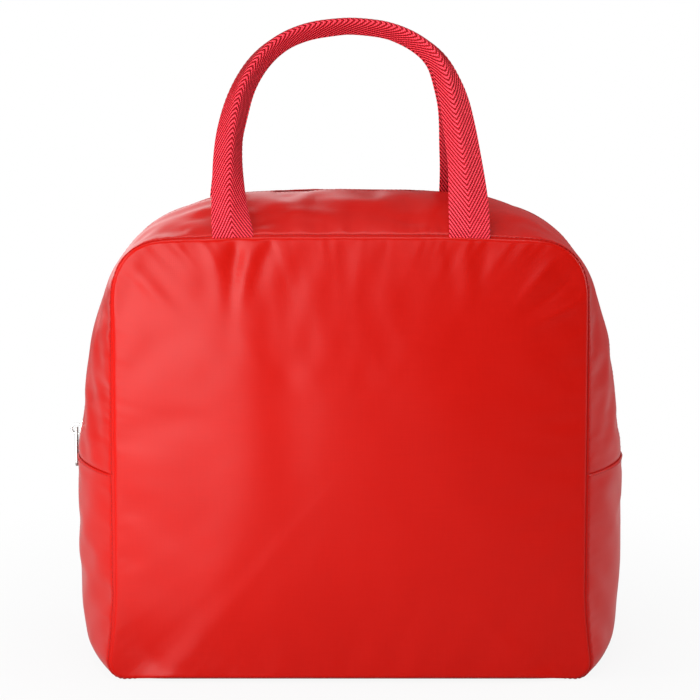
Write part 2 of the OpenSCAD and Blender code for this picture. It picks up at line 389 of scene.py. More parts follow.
@dataclass(frozen=True)
class FoilFinish(Finish):
    """Foil-faced film, softly crinkled."""

    name: str = "foil_lining"
    colour: Colour = (0.88, 0.89, 0.91)
    dull: Colour = (0.74, 0.75, 0.78)
    facets: float = 75.0
    relief: float = 0.0009

    def paint(self, graph: Graph) -> None:
        """Builds the shader: broad facets and fine crinkles.

        Args:
            graph: The material's graph.
        """
        place = graph.place()
        cells = {"Vector": place, "Scale": self.facets}
        edges = {"feature": "DISTANCE_TO_EDGE"}
        crinkle = graph.node("ShaderNodeTexVoronoi", edges, cells, "Distance")
        fine = graph.noise(place, 260.0, 4.0)
        graph.surface(
            Base_Color=graph.between(fine, self.dull, self.colour),
            Metallic=0.7,
            Roughness=fine * 0.25 + 0.25,
            Normal=graph.bump(crinkle * 0.7 + fine * 0.3, self.relief),
        )


@dataclass(frozen=True)
class WebbingFinish(Finish):
    """Herringbone webbing, its bead tips given a painted highlight and the gaps between its lines
    painted shade. Its UV map runs along and across the strap, in metres.
    """

    name: str = "herringbone_webbing"
    # The light colour is a painted highlight on the bead tips, the dark one painted shade in the
    # gaps; the middle one is the webbing's own red.
    colour: Colour = (1.0, 0.10, 0.15)
    middle: Colour = (0.80, 0.010, 0.023)
    dark: Colour = (0.15, 0.001, 0.003)
    line: float = 0.0016
    slant: float = 0.57
    bead: float = 0.00098
    bead_slant: float = 0.12
    relief: float = 0.0004

    def paint(self, graph: Graph) -> None:
        """Builds the shader: slanting lines of beads, with a painted highlight on the bead tips and
        painted shade in the gaps between lines.

        Args:
            graph: The material's graph.
        """
        strap = graph.node("ShaderNodeUVMap", {"uv_map": "strap"})
        along = graph.axis(strap, "X")
        across = abs(graph.axis(strap, "Y"))
        lines = graph.ribs(along * self.slant + across, self.line)
        beads = graph.ribs(along - across * self.bead_slant, self.bead)
        fibre = graph.fibres(strap, (5000, 1800, 1))
        pattern = lines * 0.45 + beads * lines * 0.55 + fibre * 0.15
        # Painted shade: the gaps between the bead lines darken towards the dark colour.
        body = graph.between(graph.ramp(pattern, 0.12, 0.46), self.dark, self.middle)
        # Painted highlight: the bead tips lighten towards the light colour.
        highlight_share = graph.ramp(pattern, 0.42, 0.90)
        graph.surface(
            Base_Color=graph.between(highlight_share, body, self.colour),
            Roughness=0.6 - highlight_share * 0.2,
            IOR=1.2,
            Normal=graph.bump(pattern, self.relief),
        )


@dataclass(frozen=True)
class ThreadFinish(Finish):
    """Twisted sewing thread."""

    name: str = "sewing_thread"
    colour: Colour = (0.25, 0.004, 0.004)
    light: Colour = (0.395, 0.026, 0.026)
    relief: float = 0.0001

    def paint(self, graph: Graph) -> None:
        """Builds the shader: a fine twist.

        Args:
            graph: The material's graph.
        """
        twist = graph.noise(graph.place(), 3000.0, 2.0)
        graph.surface(
            Base_Color=graph.between(twist, self.colour, self.light),
            Roughness=0.6,
            IOR=1.25,
            Normal=graph.bump(twist, self.relief),
        )


@dataclass(frozen=True)
class NickelFinish(Finish):
    """Nickel plate, slightly worn."""

    name: str = "nickel_plate"
    colour: Colour = (0.46, 0.45, 0.435)
    smudged: Colour = (0.34, 0.33, 0.32)
    relief: float = 0.00001

    def paint(self, graph: Graph) -> None:
        """Builds the shader: smudges and fine scratches.

        Args:
            graph: The material's graph.
        """
        place = graph.place()
        smudge = graph.noise(place, 350.0, 4.0)
        graph.surface(
            Base_Color=graph.between(smudge, self.smudged, self.colour),
            Metallic=1.0,
            Roughness=smudge * 0.2 + 0.16,
            Normal=graph.bump(graph.fibres(place, (300, 300, 6000)), self.relief),
        )


# ---------------------------------------------------------------- meshes


def grid_faces(rows: int, cols: int, wrap: bool = False, offset: int = 0) -> list[tuple]:
    """Quads between the points of a grid.

    Args:
        rows: How many rows of points there are.
        cols: How many points a row has.
        wrap: Whether the last point of a row joins its first.
        offset: The index of the grid's first point.

    Returns:
        The quads, facing along row direction crossed with column direction.
    """
    last = cols if wrap else cols - 1
    made = []
    for i in range(rows - 1):
        for j in range(last):
            k = (j + 1) % cols
            here, there = offset + i * cols, offset + (i + 1) * cols
            made.append((here + j, there + j, there + k, here + k))
    return made


def make_object(
    name: str,
    points: Array,
    faces: list[tuple],
    finish: bpy.types.Material | None,
    smooth_angle: float = 50.0,
) -> bpy.types.Object:
    """Makes a mesh object from points in millimetres.

    Args:
        name: The object's name.
        points: The points, one to a row.
        faces: The faces, as indices of points.
        finish: Its material, if it is to be seen.
        smooth_angle: Edges that turn by more than this angle, in degrees, stay sharp.

    Returns:
        The object, linked to the scene.
    """
    mesh = bpy.data.meshes.new(name)
    mesh.from_pydata((points * MM).tolist(), [], faces)
    mesh.validate()
    mesh.shade_smooth()
    mesh.set_sharp_from_angle(angle=math.radians(smooth_angle))
    if finish is not None:
        mesh.materials.append(finish)
    made = bpy.data.objects.new(name, mesh)
    bpy.context.scene.collection.objects.link(made)
    return made


def make_slab(
    name: str, outer: Array, inner: Array, finish: bpy.types.Material
) -> bpy.types.Object:
    """Makes a closed sheet with thickness between two grids of points.

    Args:
        name: The object's name.
        outer: The outer grid; its rows crossed with its columns face out.
        inner: The inner grid, of the same size.
        finish: Its material.

    Returns:
        The object.
    """
    rows, cols = outer.shape[:2]
    count = rows * cols
    faces = grid_faces(rows, cols)
    faces += [face[::-1] for face in grid_faces(rows, cols, False, count)]
    last, end = (rows - 1) * cols, cols - 1
    for j in range(end):
        faces.append((j, j + 1, count + j + 1, count + j))
        faces.append((last + j + 1, last + j, count + last + j, count + last + j + 1))
    for i in range(rows - 1):
        here, there = i * cols, (i + 1) * cols
        faces.append((there, here, count + here, count + there))
        faces.append((here + end, there + end, count + there + end, count + here + end))
    points = np.concatenate([outer.reshape(-1, 3), inner.reshape(-1, 3)])
    return make_object(name, points, faces, finish)


def tube_rings(path: Array, radius: float, sides: int) -> Array:
    """Rings of points round a path.

    Args:
        path: The points of the path.
        radius: The radius of the rings.
        sides: How many points a ring has.

    Returns:
        The rings, one to a row.
    """
    ahead = np.gradient(path, axis=0)
    ahead /= np.linalg.norm(ahead, axis=1, keepdims=True)
    last = np.array([0.0, 1.0, 0.0]) if abs(ahead[0][1]) < 0.8 else np.array([1.0, 0.0, 0.0])
    sideways = np.empty_like(path)
    for i, tangent in enumerate(ahead):
        last = last - tangent * (last @ tangent)
        last = last / np.linalg.norm(last)
        sideways[i] = last
    upward = np.cross(ahead, sideways)
    angle = np.linspace(0, 2 * math.pi, sides, endpoint=False)[None, :, None]
    spin = np.cos(angle) * sideways[:, None] + np.sin(angle) * upward[:, None]
    return path[:, None] + radius * spin


def make_tubes(
    name: str, paths: list[Array], radius: float, finish: bpy.types.Material, sides: int
) -> bpy.types.Object:
    """Makes one object of closed round tubes.

    Args:
        name: The object's name.
        paths: The path of each tube.
        radius: The radius of every tube.
        finish: Their material.
        sides: How many sides a tube has.

    Returns:
        The object.
    """
    points, faces, offset = [], [], 0
    for path in paths:
        rings = tube_rings(path, radius, sides)
        rows = len(rings)
        points.append(rings.reshape(-1, 3))
        faces += [face[::-1] for face in grid_faces(rows, sides, True, offset)]
        faces.append(tuple(range(offset, offset + sides))[::-1])
        faces.append(tuple(range(offset + (rows - 1) * sides, offset + rows * sides)))
        offset += rows * sides
    return make_object(name, np.concatenate(points), faces, finish)


def ripple(place: Array, wavelength: float, seed: int) -> Array:
    """A smooth, repeatable wander about zero, made of a few waves.

    Args:
        place: Where it is read, in millimetres.
        wavelength: The typical length of a wave.
        seed: Which wander it is.

    Returns:
        Its value, mostly between -1 and 1.
    """
    draw = np.random.default_rng(seed)
    total = np.zeros_like(place, dtype=float)
    for _ in range(WAVES):
        length = wavelength * draw.uniform(SHORTEST, LONGEST)
        total += np.sin(2 * math.pi * (place / length + draw.uniform()))
    return total / math.sqrt(WAVES * 2)


def eased(t: Array) -> Array:
    """A smooth step from 0 to 1."""
    t = np.clip(t, 0.0, 1.0)
    return t * t * (3 - 2 * t)


def fading(away: Array, reach: float, power: float = 1.0) -> Array:
    """A share that falls from 1 at a line towards 0 beyond its reach."""
    return np.exp(-((away / reach) ** power))


def smoothed(values: Array, passes: int) -> Array:
    """Rounds off the kinks along the first axis, keeping the ends.

    Args:
        values: What is rounded off, one row to a place.
        passes: How many times it is done.

    Returns:
        The smoother values.
    """
    out = values.copy()
    for _ in range(passes):
        out[1:-1] = (out[:-2] + 2 * out[1:-1] + out[2:]) / 4
    return out


def lengths_along(line: Array) -> Array:
    """The distance of each point from the first, along a line of points."""
    return np.concatenate([[0], np.cumsum(np.linalg.norm(np.diff(line, axis=0), axis=1))])


# ---------------------------------------------------------------- simulated cloth


@dataclass(frozen=True)
class Field:
    """A smooth height map over an even grid."""

    heights: Array
    start: Place
    spacing: Place

    def read(self, u: Array, v: Array) -> Array:
        """The height at each place, as a cubic B-spline.

        Args:
            u: Where it is read along the first axis.
            v: Where it is read along the second axis.

        Returns:
            The height at each place.
        """
        rows, row_shares = self._lines(u, 0)
        cols, col_shares = self._lines(v, 1)
        total = 0.0
        for row, row_share in zip(rows, row_shares):
            for col, col_share in zip(cols, col_shares):
                total = total + row_share * col_share * self.heights[row, col]
        return total

    def _lines(self, place: Array, axis: int) -> tuple[list[Array], list[Array]]:
        """The four grid lines about each place, and the share of each.

        Args:
            place: Where the field is read along one axis.
            axis: Which axis it is.

        Returns:
            The indices of the lines, and their shares.
        """
        at = (place - self.start[axis]) / self.spacing[axis]
        first = np.floor(at)
        t = at - first
        last = self.heights.shape[axis] - 1
        lines = [np.clip(first + k, 0, last).astype(int) for k in (-1, 0, 1, 2)]
        before, after = (1 - t) ** 3 / 6, t**3 / 6
        nearer = (3 * t**3 - 6 * t**2 + 4) / 6
        return lines, [before, nearer, 1 - before - nearer - after, after]


@dataclass(frozen=True)
class SewnSheet:
    """Cloth that is a little too large for its seams and is pressed out from inside."""

    frames: int = 24
    pressure: float = 0.9
    growth: float = 0.005
    bending: float = 1.2
    stiffness: float = 15.0
    shear: float = 6.0
    damping: float = 3.0
    mass: float = 0.15
    quality: int = 6
    wander: float = 0.4
    wander_length: float = 30.0
    broad_passes: int = 90

    def settle(
        self, points: Array, outward: Array, sewn: Array, start: Place, seed: int, limit: float
    ) -> Field:
        """Simulates a sheet and keeps its folds without its broad swelling.

        Args:
            points: An even grid of points; its rows crossed with its columns face out.
            outward: The direction in which heights are measured, at each point.
            sewn: Where the sheet is held.
            start: The grid's own coordinates at its first point.
            seed: Which wander the sheet starts with.
            limit: The largest height that is kept.

        Returns:
            The height of the folds.
        """
        rows = np.linalg.norm(points[2, 1] - points[1, 1])
        cols = np.linalg.norm(points[1, 2] - points[1, 1])
        shape = points.shape[:2]
        u, v = np.indices(shape)
        uneven = ripple(u * rows, self.wander_length, seed)
        uneven = uneven * ripple(v * cols, self.wander_length, seed + 1)
        begun = points + outward * (self.wander * uneven * ~sewn)[..., None]
        rise = ((self._simulated(begun, sewn) - points) * outward).sum(-1)
        broad = smoothed(smoothed(rise, self.broad_passes).T, self.broad_passes).T
        folds = limit * np.tanh((rise - broad) / limit)
        LOG.info("sheet %d: folds %.2f to %.2f", seed, folds.min(), folds.max())
        return Field(folds, start, (rows, cols))

    def _simulated(self, points: Array, sewn: Array) -> Array:
        """The grid as the cloth simulation leaves it.

        Args:
            points: The grid at the start.
            sewn: Where it is held.

        Returns:
            The grid at the end, in millimetres.
        """
        made = make_object("sheet", points.reshape(-1, 3), grid_faces(*points.shape[:2]), None)
        group = made.vertex_groups.new(name="sewn")
        group.add(np.flatnonzero(sewn).tolist(), 1.0, "REPLACE")
        cloth = made.modifiers.new("cloth", "CLOTH")
        cloth.collision_settings.use_collision = False
        cloth.point_cache.frame_start = 1
        cloth.point_cache.frame_end = self.frames
        sheet = cloth.settings
        sheet.quality = self.quality
        sheet.mass = self.mass
        sheet.tension_stiffness = sheet.compression_stiffness = self.stiffness
        sheet.shear_stiffness = self.shear
        sheet.bending_stiffness = self.bending
        sheet.air_damping = self.damping
        sheet.vertex_group_mass = group.name
        sheet.use_pressure = True
        sheet.uniform_pressure_force = self.pressure
        sheet.shrink_min = -self.growth
        sheet.effector_weights.gravity = 0.0
        for frame in range(1, self.frames + 1):
            bpy.context.scene.frame_set(frame)
        settled = made.evaluated_get(bpy.context.evaluated_depsgraph_get()).data
        places = np.empty(points.size)
        settled.vertices.foreach_get("co", places)
        bpy.data.objects.remove(made)
        bpy.context.scene.frame_set(1)
        return places.reshape(points.shape) / MM


# ---------------------------------------------------------------- the form of the bag


@dataclass
class Stations:
    """Places along the seam outline, seen from the front.

    Attributes:
        upper: Whether they are above the side joints.
        length: The length of the whole path.
        point: X and Z of each place.
        normal: The way out of the outline there.
        swell_to: The way in which the wall swells there.
        swell: How far it swells in its middle.
        arc: The distance along the path.
    """

    upper: bool
    length: float
    point: Array
    normal: Array
    swell_to: Array
    swell: Array
    arc: Array

    def at(self, arc: Array) -> "Stations":
        """Stations at other distances along the same outline.

        Args:
            arc: The distances along the outline.

        Returns:
            The stations there.
        """

        def read(values: Array) -> Array:
            """The values at those distances."""
            return np.stack([np.interp(arc, self.arc, column) for column in values.T], 1)

        pairs = [read(values) for values in (self.point, self.normal, self.swell_to)]
        swell = np.interp(arc, self.arc, self.swell)
        return Stations(self.upper, self.length, *pairs, swell, arc)


@dataclass
class BagForm:
    """The outline that both seams follow, and how the walls swell from it."""

    half_w: float = 117.5
    height: float = 223.0
    top_r: float = 32.0
    bottom_r: float = 10.0
    joint_h: float = 104.0
    seam_y: float = 65.0
    base_flare: float = 4.5
    flare_h: float = 45.0
    flare_power: float = 1.5
    side_swell: float = 25.0
    base_swell: float = 14.5
    swell_reach: float = 60.0
    base_power: float = 2.2
    corner_swell: float = 2.2
    shoulder_swell: float = 13.4
    shoulder_run: float = 52.0
    top_swell: float = 19.0
    side_slope: float = 7.2
    straight_run: float = 64.0
    bend_power: float = 1.05
    rounding: int = 12
    panel_swell: float = 6.0
    step: float = 1.5
    groove: float = 0.35
    groove_y: float = 63.6
    base_push: float = 3.4
    seam_rise: float = 1.5
    rise_reach: float = 2.0
    corner_fade: float = 28.0
    panel_y: float = 65.3
    hem_step: tuple[float, ...] = (0, 0.25, 0.6, 1.0)
    corner_push: float = 2.4
    tight_share: float = 0.4
    top_sag: float = 1.6
    sag_from: float = 38.0
    sag_run: float = 60.0
    crown: float = 1.9
    seam_depth: float = 1.0
    gusset_depth: float = 0.6
    seam_roll: float = 0.5

    def __post_init__(self) -> None:
        """Works out the lengths along the outline."""
        self.side_l = self.height - self.top_r - self.joint_h
        self.corner_l = self.top_r * math.pi / 2
        self.tight_corner = self.side_l + self.corner_l * self.tight_share
        self.half_l = self.side_l + self.corner_l + self.half_w - self.top_r

    def upper_swell(self, arc: Array) -> Array:
        """Swell at a distance above the side joint, up to the middle of the top.

        Args:
            arc: The distance above the joint.

        Returns:
            The swell at each distance.
        """
        slope = math.tan(math.radians(self.side_slope))
        run = self.side_swell - self.straight_run * slope
        straight = self.side_swell - arc * slope
        beyond = np.clip((arc - self.straight_run) / (self.tight_corner - self.straight_run), 0, 1)
        bend = run - (run - self.corner_swell) * beyond**self.bend_power
        past = np.clip(arc - self.tight_corner, 0, None)
        top = (
            self.corner_swell
            + (self.shoulder_swell - self.corner_swell) * eased(past / self.shoulder_run)
            + (self.top_swell - self.shoulder_swell)
            * np.sin(math.pi / 2 * past / (self.half_l - self.tight_corner))
        )
        return np.where(
            arc <= self.straight_run, straight, np.where(arc <= self.tight_corner, bend, top)
        )

    def lower_swell(self, z: Array) -> Array:
        """Swell of the sides at a height under the joint."""
        share = 1 - (1 - np.minimum(z, self.swell_reach) / self.swell_reach) ** self.base_power
        return self.base_swell + (self.side_swell - self.base_swell) * share

    def flare(self, z: Array) -> Array:
        """How much further out the seam stands near the base."""
        left = 1 - np.minimum(z, self.flare_h) / self.flare_h
        return self.base_flare * left**self.flare_power

    def bulge(self, across: Array, z: Array) -> Array:
        """How far a panel stands out of its seam's plane; it is flatter to its left.

        Args:
            across: Across the panel, seen from outside.
            z: Up the panel.

        Returns:
            How far it stands out at each place.
        """
        u = across / self.half_w
        left = 1 - np.clip(-u, 0, 1) ** 2
        right = 1 - np.clip(u, 0, 1) ** 4
        upright = 1 - np.abs(2 * z / self.height - 1).clip(0, 1) ** 3
        return self.panel_swell * np.where(u < 0, left, right) * upright

    def inside(self, x: Array, z: Array) -> Array:
        """How far a place of a panel is inside its seam.

        Args:
            x: Across the panel.
            z: Up the panel.

        Returns:
            The distance to the seam line, positive within it.
        """
        corner = np.where(z > self.height / 2, self.top_r, self.bottom_r)
        dx = np.abs(x) - self.half_w + corner
        dz = np.abs(z - self.height / 2) - self.height / 2 + corner
        beyond = np.hypot(dx.clip(0), dz.clip(0)) + np.minimum(np.maximum(dx, dz), 0)
        return corner - beyond

    def _places(self, length: float, step: float | None) -> Array:
        """Distances from the joint, even or, without a step, finer where the hem is."""
        even = np.linspace(0, length, int(length / (step or self.step)) + 1)
        return even if step else np.concatenate([self.hem_step, even[1:]])

    def upper(self, step: float | None = None) -> Stations:
        """Stations from the left joint over the top to the right joint.

        Args:
            step: The distance between stations, if not the wall's own.

        Returns:
            The stations, from the left.
        """
        arc = self._places(self.half_l, step)
        turn = np.clip((arc - self.side_l) / self.top_r, 0, math.pi / 2)
        up = np.minimum(arc, self.side_l)
        over = np.clip(arc - self.side_l - self.corner_l, 0, None)
        x = self.half_w - self.top_r * (1 - np.cos(turn)) - over
        z = self.joint_h + up + self.top_r * np.sin(turn)
        normal = np.stack([np.cos(turn), np.sin(turn)], 1)
        push = self.corner_push * np.sin(2 * turn) ** 2
        sag = self.top_sag * eased((x - self.sag_from) / self.sag_run)
        sag = sag * eased((z - self.joint_h) / self.sag_run)
        x, z = x + push * normal[:, 0], z + push * normal[:, 1] - sag
        fine = np.linspace(0, self.half_l, int(self.half_l / self.step) + 1)
        swell = np.interp(arc, fine, smoothed(self.upper_swell(fine), self.rounding))
        return self._both_sides(np.stack([x, z], 1), normal, normal, swell, arc, -1)

    def lower(self, step: float | None = None) -> Stations:
        """Stations from the right joint under the base to the left joint.

        Args:
            step: The distance between stations, if not the wall's own.

        Returns:
            The stations, from the right.
        """
        side = self.joint_h - self.bottom_r
        corner = self.bottom_r * math.pi / 2
        flat = self.half_w - self.bottom_r
        arc = self._places(side + corner + flat, step)
        turn = np.clip((arc - side) / self.bottom_r, 0, math.pi / 2)
        over = np.clip(arc - side - corner, 0, None)
        z = self.joint_h - np.minimum(arc, side) - self.bottom_r * np.sin(turn)
        z[turn >= math.pi / 2] = 0.0
        share = 1 - over / flat
        x = (self.half_w - self.bottom_r * (1 - np.cos(turn)) + self.flare(z)) * share
        x = np.where(over > 0, (flat + self.base_flare) * share, x)
        normal = np.stack([np.cos(turn), -np.sin(turn)], 1)
        aside = np.stack([np.ones_like(x), np.zeros_like(x)], 1)
        swell = self.lower_swell(z) * np.where(over > 0, share, 1.0)
        return self._both_sides(np.stack([x, z], 1), normal, aside, swell, arc, 1)

    @staticmethod
    def _both_sides(
        point: Array, normal: Array, swell_to: Array, swell: Array, arc: Array, first: int
    ) -> Stations:
        """Joins the right half of a path, which starts at the joint, to its mirror image.

        Args:
            point: The points of the half.
            normal: The way out at each point.
            swell_to: The way in which the wall swells there.
            swell: How far it swells.
            arc: The distances from the joint.
            first: -1 if the whole path starts on the left, 1 if on the right.

        Returns:
            The stations of the whole path.
        """

        def joined(values: Array, flip: bool) -> Array:
            """Puts the values of one half and of its mirror image in a row.

            Args:
                values: The values of the half, from the joint.
                flip: Whether their X turns round in the mirror image.

            Returns:
                The values of the whole path.
            """
            mirrored = values * np.array([-1, 1]) if flip else values
            if first < 0:
                return np.concatenate([mirrored, values[::-1][1:]])
            return np.concatenate([values, mirrored[::-1][1:]])

        total = 2 * arc[-1]
        return Stations(
            first < 0,
            total,
            joined(point, True),
            joined(normal, True),
            joined(swell_to, True),
            joined(swell, False),
            np.concatenate([arc, total - arc[::-1][1:]]),
        )

    def under(self, at: Stations) -> Array:
        """How fully each station is part of the base, away from its corners."""
        inward = eased((self.half_w - np.abs(at.point[:, :1])) / self.corner_fade)
        return eased(-at.normal[:, 1:]) * inward

    def wall(
        self, at: Stations, across: Array, depth: Array | float, detail: Callable | None = None
    ) -> Array:
        """Points of the gusset wall.

        Args:
            at: The stations along the outline, one to a row.
            across: The places across the wall, as Y, one to a column, or a row for each station.
            depth: How far under the outer face the points are.
            detail: What gives the outward wander of the cloth from arc, Y and the stations.

        Returns:
            The grid of points.
        """
        y = across if across.ndim == 2 else across[None, :]
        down = self.under(at)
        from_seam = (self.groove_y - np.abs(y)).clip(0)
        rise = self.seam_rise * down * fading(from_seam, self.rise_reach, 1.5)
        y = y * (1 + self.base_push / self.groove_y * down)
        v = np.abs(y / self.seam_y).clip(0, 1)
        swell = at.swell[:, None] * (1 - v**self.crown)
        facing = (at.swell_to * at.normal).sum(1)[:, None]
        slope = self.crown * at.swell[:, None] * v ** (self.crown - 1) / self.seam_y * facing
        out = -depth * np.sqrt(1 + slope**2) - rise
        if detail is not None:
            out = out + detail(at, y)
        x = at.point[:, :1] + at.swell_to[:, :1] * swell + at.normal[:, :1] * out
        z = at.point[:, 1:] + at.swell_to[:, 1:] * swell + at.normal[:, 1:] * out
        return np.stack([x, np.broadcast_to(y, x.shape), z], -1)


@dataclass(frozen=True)
class Crease:
    """A rounded hill or, with a negative height, a hollow in the cloth.

    Its place is given along the cloth's two axes, and so is its reach, which a turn in
    degrees swings round.
    """

    x: float
    z: float
    across: float
    along: float
    turn: float
    height: float

    def read(self, x: Array, z: Array) -> Array:
        """Its height at each place.

        Args:
            x: Where it is read along the first axis.
            z: Where it is read along the second axis.

        Returns:
            The height at each place.
        """
        c, s = math.cos(math.radians(self.turn)), math.sin(math.radians(self.turn))
        dx, dz = x - self.x, z - self.z
        first, second = (dx * c + dz * s) / self.across, (dz * c - dx * s) / self.along
        return self.height * np.exp(-(first**2 + second**2))


@dataclass(frozen=True)
class Pucker:
    """A wander of the cloth along a seam, which starts beside it and fades away from it.

    Attributes:
        height: How high it is.
        length: The typical length of a wave along the seam.
        seed: Which wander it is.
        fade: How far from the seam it has mostly faded.
        start: How far from the seam it has mostly begun.
    """

    height: float
    length: float
    seed: int
    fade: float
    start: float

    def read(self, arc: Array, away: Array, seed: int) -> Array:
        """Its height at each distance along the seam and away from it."""
        wander = ripple(arc, self.length, self.seed + seed)
        return self.height * wander * fading(away, self.fade) * (1 - fading(away, self.start))


FRONT_CREASES = (
    Crease(-66, 210, 5, 14, 8, 0.7),
    Crease(-57, 206, 3.2, 20, -6, -0.9),
    Crease(-50, 208, 3.5, 16, -16, 0.7),
    Crease(-42, 211, 3.0, 12, -24, -0.5),
    Crease(49, 211, 3.0, 11, 12, -0.4),
    Crease(57, 209, 3.4, 13, 3, 0.5),
    Crease(66, 211, 3.0, 11, -8, -0.4),
    Crease(93, 203, 3.4, 15, -38, 0.7),
    Crease(101, 196, 3.0, 13, -52, -0.6),
    Crease(104, 186, 3.2, 13, -66, 0.6),
    Crease(-100, 200, 4.0, 16, 42, 0.6),
    Crease(-50, 173, 10, 34, 6, 0.5),
    Crease(-62, 60, 14, 44, -12, 0.7),
    Crease(-30, 120, 13, 60, 3, -0.5),
    Crease(40, 150, 22, 34, 25, 0.5),
    Crease(62, 60, 26, 30, 35, -0.6),
)

# On the upper gusset's front half, placed by the distance from the left joint and by Y
TOP_CREASES = (
    Crease(141, -15, 22, 2.6, 4, 0.55),
    Crease(143, -23, 24, 3.0, 6, -0.45),
    Crease(145, -32, 22, 3.2, 9, 0.55),
    Crease(149, -41, 18, 3.0, 14, -0.45),
    Crease(180, -52, 9, 6.0, 30, -1.5),
    Crease(196, -44, 13, 5.0, 25, 0.7),
    Crease(222, -30, 24, 7.0, -6, 0.6),
    Crease(250, -50, 16, 4.0, -12, -0.6),
    Crease(286, -38, 12, 5.0, 20, 0.5),
)

GUSSET_PUCKERS = (
    Pucker(0.30, 7.5, 11, 6, 1.2),
    Pucker(0.35, 15.0, 17, 14, 4),
    Pucker(0.50, 34.0, 13, 28, 8),
)
HIGH_PUCKERS = (Pucker(0.20, 7.0, 0, 5, 1.2), Pucker(0.20, 16.0, 4, 11, 3))
PANEL_PUCKER = Pucker(0.30, 38.0, 1, 22, 6)


@dataclass
class OuterCloth:
    """The creases, rolls and puckers of the outer cloth."""

    form: BagForm
    sheet: SewnSheet
    zip_edge: float = 5.0
    cell: float = 3.0
    panel_fold: float = 0.85
    gusset_fold: float = 1.9
    turn_in: float = 2.6
    hem_rise: float = 0.5
    hem_edge: float = 0.3
    hem_sink: float = 0.6
    hem_reach: float = 1.6
    rise_reach: float = 2.4
    tape_sink: float = 0.3
    tape_reach: float = 14.5
    free_sink: float = 4.0
    free_run: float = 6.0
    held_in: float = 2.5
    held_under: float = 8.0
    groove_reach: float = 9.0
    broad: float = 0.6
    broad_reach: float = 12.0
    crease_reach: float = 3.0
    base_lift: float = 0.7
    low_share: float = 0.35
    high_from: float = 150.0
    high_run: float = 50.0
    joint_calm: float = 14.0
    panel_broad: float = 0.40
    panel_slanting: float = 0.35
    panel_broad_reach: float = 20.0
    panel_crease_reach: float = 2.0
    panel_fold_reach: float = 5.0
    fold_share: float = 0.30
    fold_edge: float = 0.18
    fold_edge_reach: float = 16.0

    def __post_init__(self) -> None:
        """Settles the cloth of every wall."""
        self.panels = {side: self._panel_folds(10 * i + 200) for i, side in enumerate(Side)}
        edge = np.arange(-self.form.groove_y, -self.zip_edge, self.cell)
        upper, lower = self.form.upper(self.cell), self.form.lower(self.cell)
        self.tops = {
            Side.FRONT: self._gusset_folds(upper, edge, 300),
            Side.REAR: self._gusset_folds(upper, -edge[::-1], 310),
        }
        across = np.arange(-self.form.groove_y, self.form.groove_y, self.cell)
        self.base = self._gusset_folds(lower, across, 320)

    def _panel_folds(self, seed: int) -> Field:
        """The folds of one panel, seen from outside.

        Args:
            seed: Which wander the cloth starts with.

        Returns:
            The height of the folds.
        """
        form = self.form
        x, z = np.meshgrid(
            np.arange(-form.half_w, form.half_w, self.cell),
            np.arange(0, form.height + 0.1, self.cell),
            indexing="ij",
        )
        points = np.stack([x, -form.panel_y - form.bulge(x, z), z], -1)
        outward = np.broadcast_to([0.0, -1.0, 0.0], points.shape)
        sewn = form.inside(x, z) < self.held_in
        return self.sheet.settle(points, outward, sewn, (-form.half_w, 0.0), seed, self.panel_fold)

    def _gusset_folds(self, at: Stations, across: Array, seed: int) -> Field:
        """The folds of one gusset.

        Args:
            at: The stations along the outline.
            across: Y of the columns.
            seed: Which wander the cloth starts with.

        Returns:
            The height of the folds.
        """
        points = self.form.wall(at, across, 0.0)
        outward = np.stack([at.normal[:, 0], np.zeros(len(at.arc)), at.normal[:, 1]], 1)
        outward = np.broadcast_to(outward[:, None], points.shape)
        sewn = np.zeros(points.shape[:2], bool)
        sewn[[0, -1]] = sewn[:, [0, -1]] = True
        sewn |= points[..., 2] < self.held_under
        return self.sheet.settle(points, outward, sewn, (0.0, across[0]), seed, self.gusset_fold)

    def roll(self, away: Array, depth: float) -> Array:
        """How far the cloth sinks at a distance from the seam line, and turns in beyond it."""
        sunk = depth * fading(away.clip(0), self.form.seam_roll, 1.2)
        return -sunk - self.turn_in * (-away).clip(0) / TURNED

    def gusset(self, at: Stations, y: Array) -> Array:
        """Outward wander of the gusset cloth.

        Args:
            at: The stations along the outline.
            y: The places across, in one row.

        Returns:
            The wander at each point.
        """
        arc = at.arc[:, None]
        end = np.minimum(arc, at.length - arc)
        push = 1 + self.form.base_push / self.form.groove_y * self.form.under(at)
        away = self.form.groove_y - np.abs(y) / push
        out = self.roll(away, self.form.gusset_depth)
        away = away.clip(0)
        out = out + self.form.groove * fading(away, self.groove_reach)
        for pucker in GUSSET_PUCKERS:
            out = out + np.where(y < 0, pucker.read(arc, away, 0), pucker.read(arc, away, 1))
        broad = ripple(arc + y * 0.7, 75.0, 15) * ripple(y + arc * 0.2, 60.0, 16)
        inner = (1 - fading(away, self.broad_reach)) * eased(end / self.broad_reach)
        out = out + self.broad * broad * inner
        if at.upper:
            front, rear = (self.tops[side].read(arc, y) for side in Side)
            creases = sum(crease.read(arc, y) for crease in TOP_CREASES)
            out = out + creases * (1 - fading(away, self.crease_reach))
            out = out + np.where(y < 0, front, rear)
            free = eased((np.abs(y) - self.tape_reach) / self.free_run)
            out = np.maximum(out, -self.tape_sink - self.free_sink * free)
            out = out - self.hem_sink * fading(end, self.hem_reach, 1.5)
        else:
            out = out + self.base.read(arc, y) + self.hem_rise * fading(end, self.rise_reach, 2)
            out = out - self.hem_edge * fading(end, self.hem_edge, 1.5)
        down = at.normal[:, 1:] < -0.2
        return np.where(down, np.minimum(out, at.point[:, 1:] * self.base_lift), out)

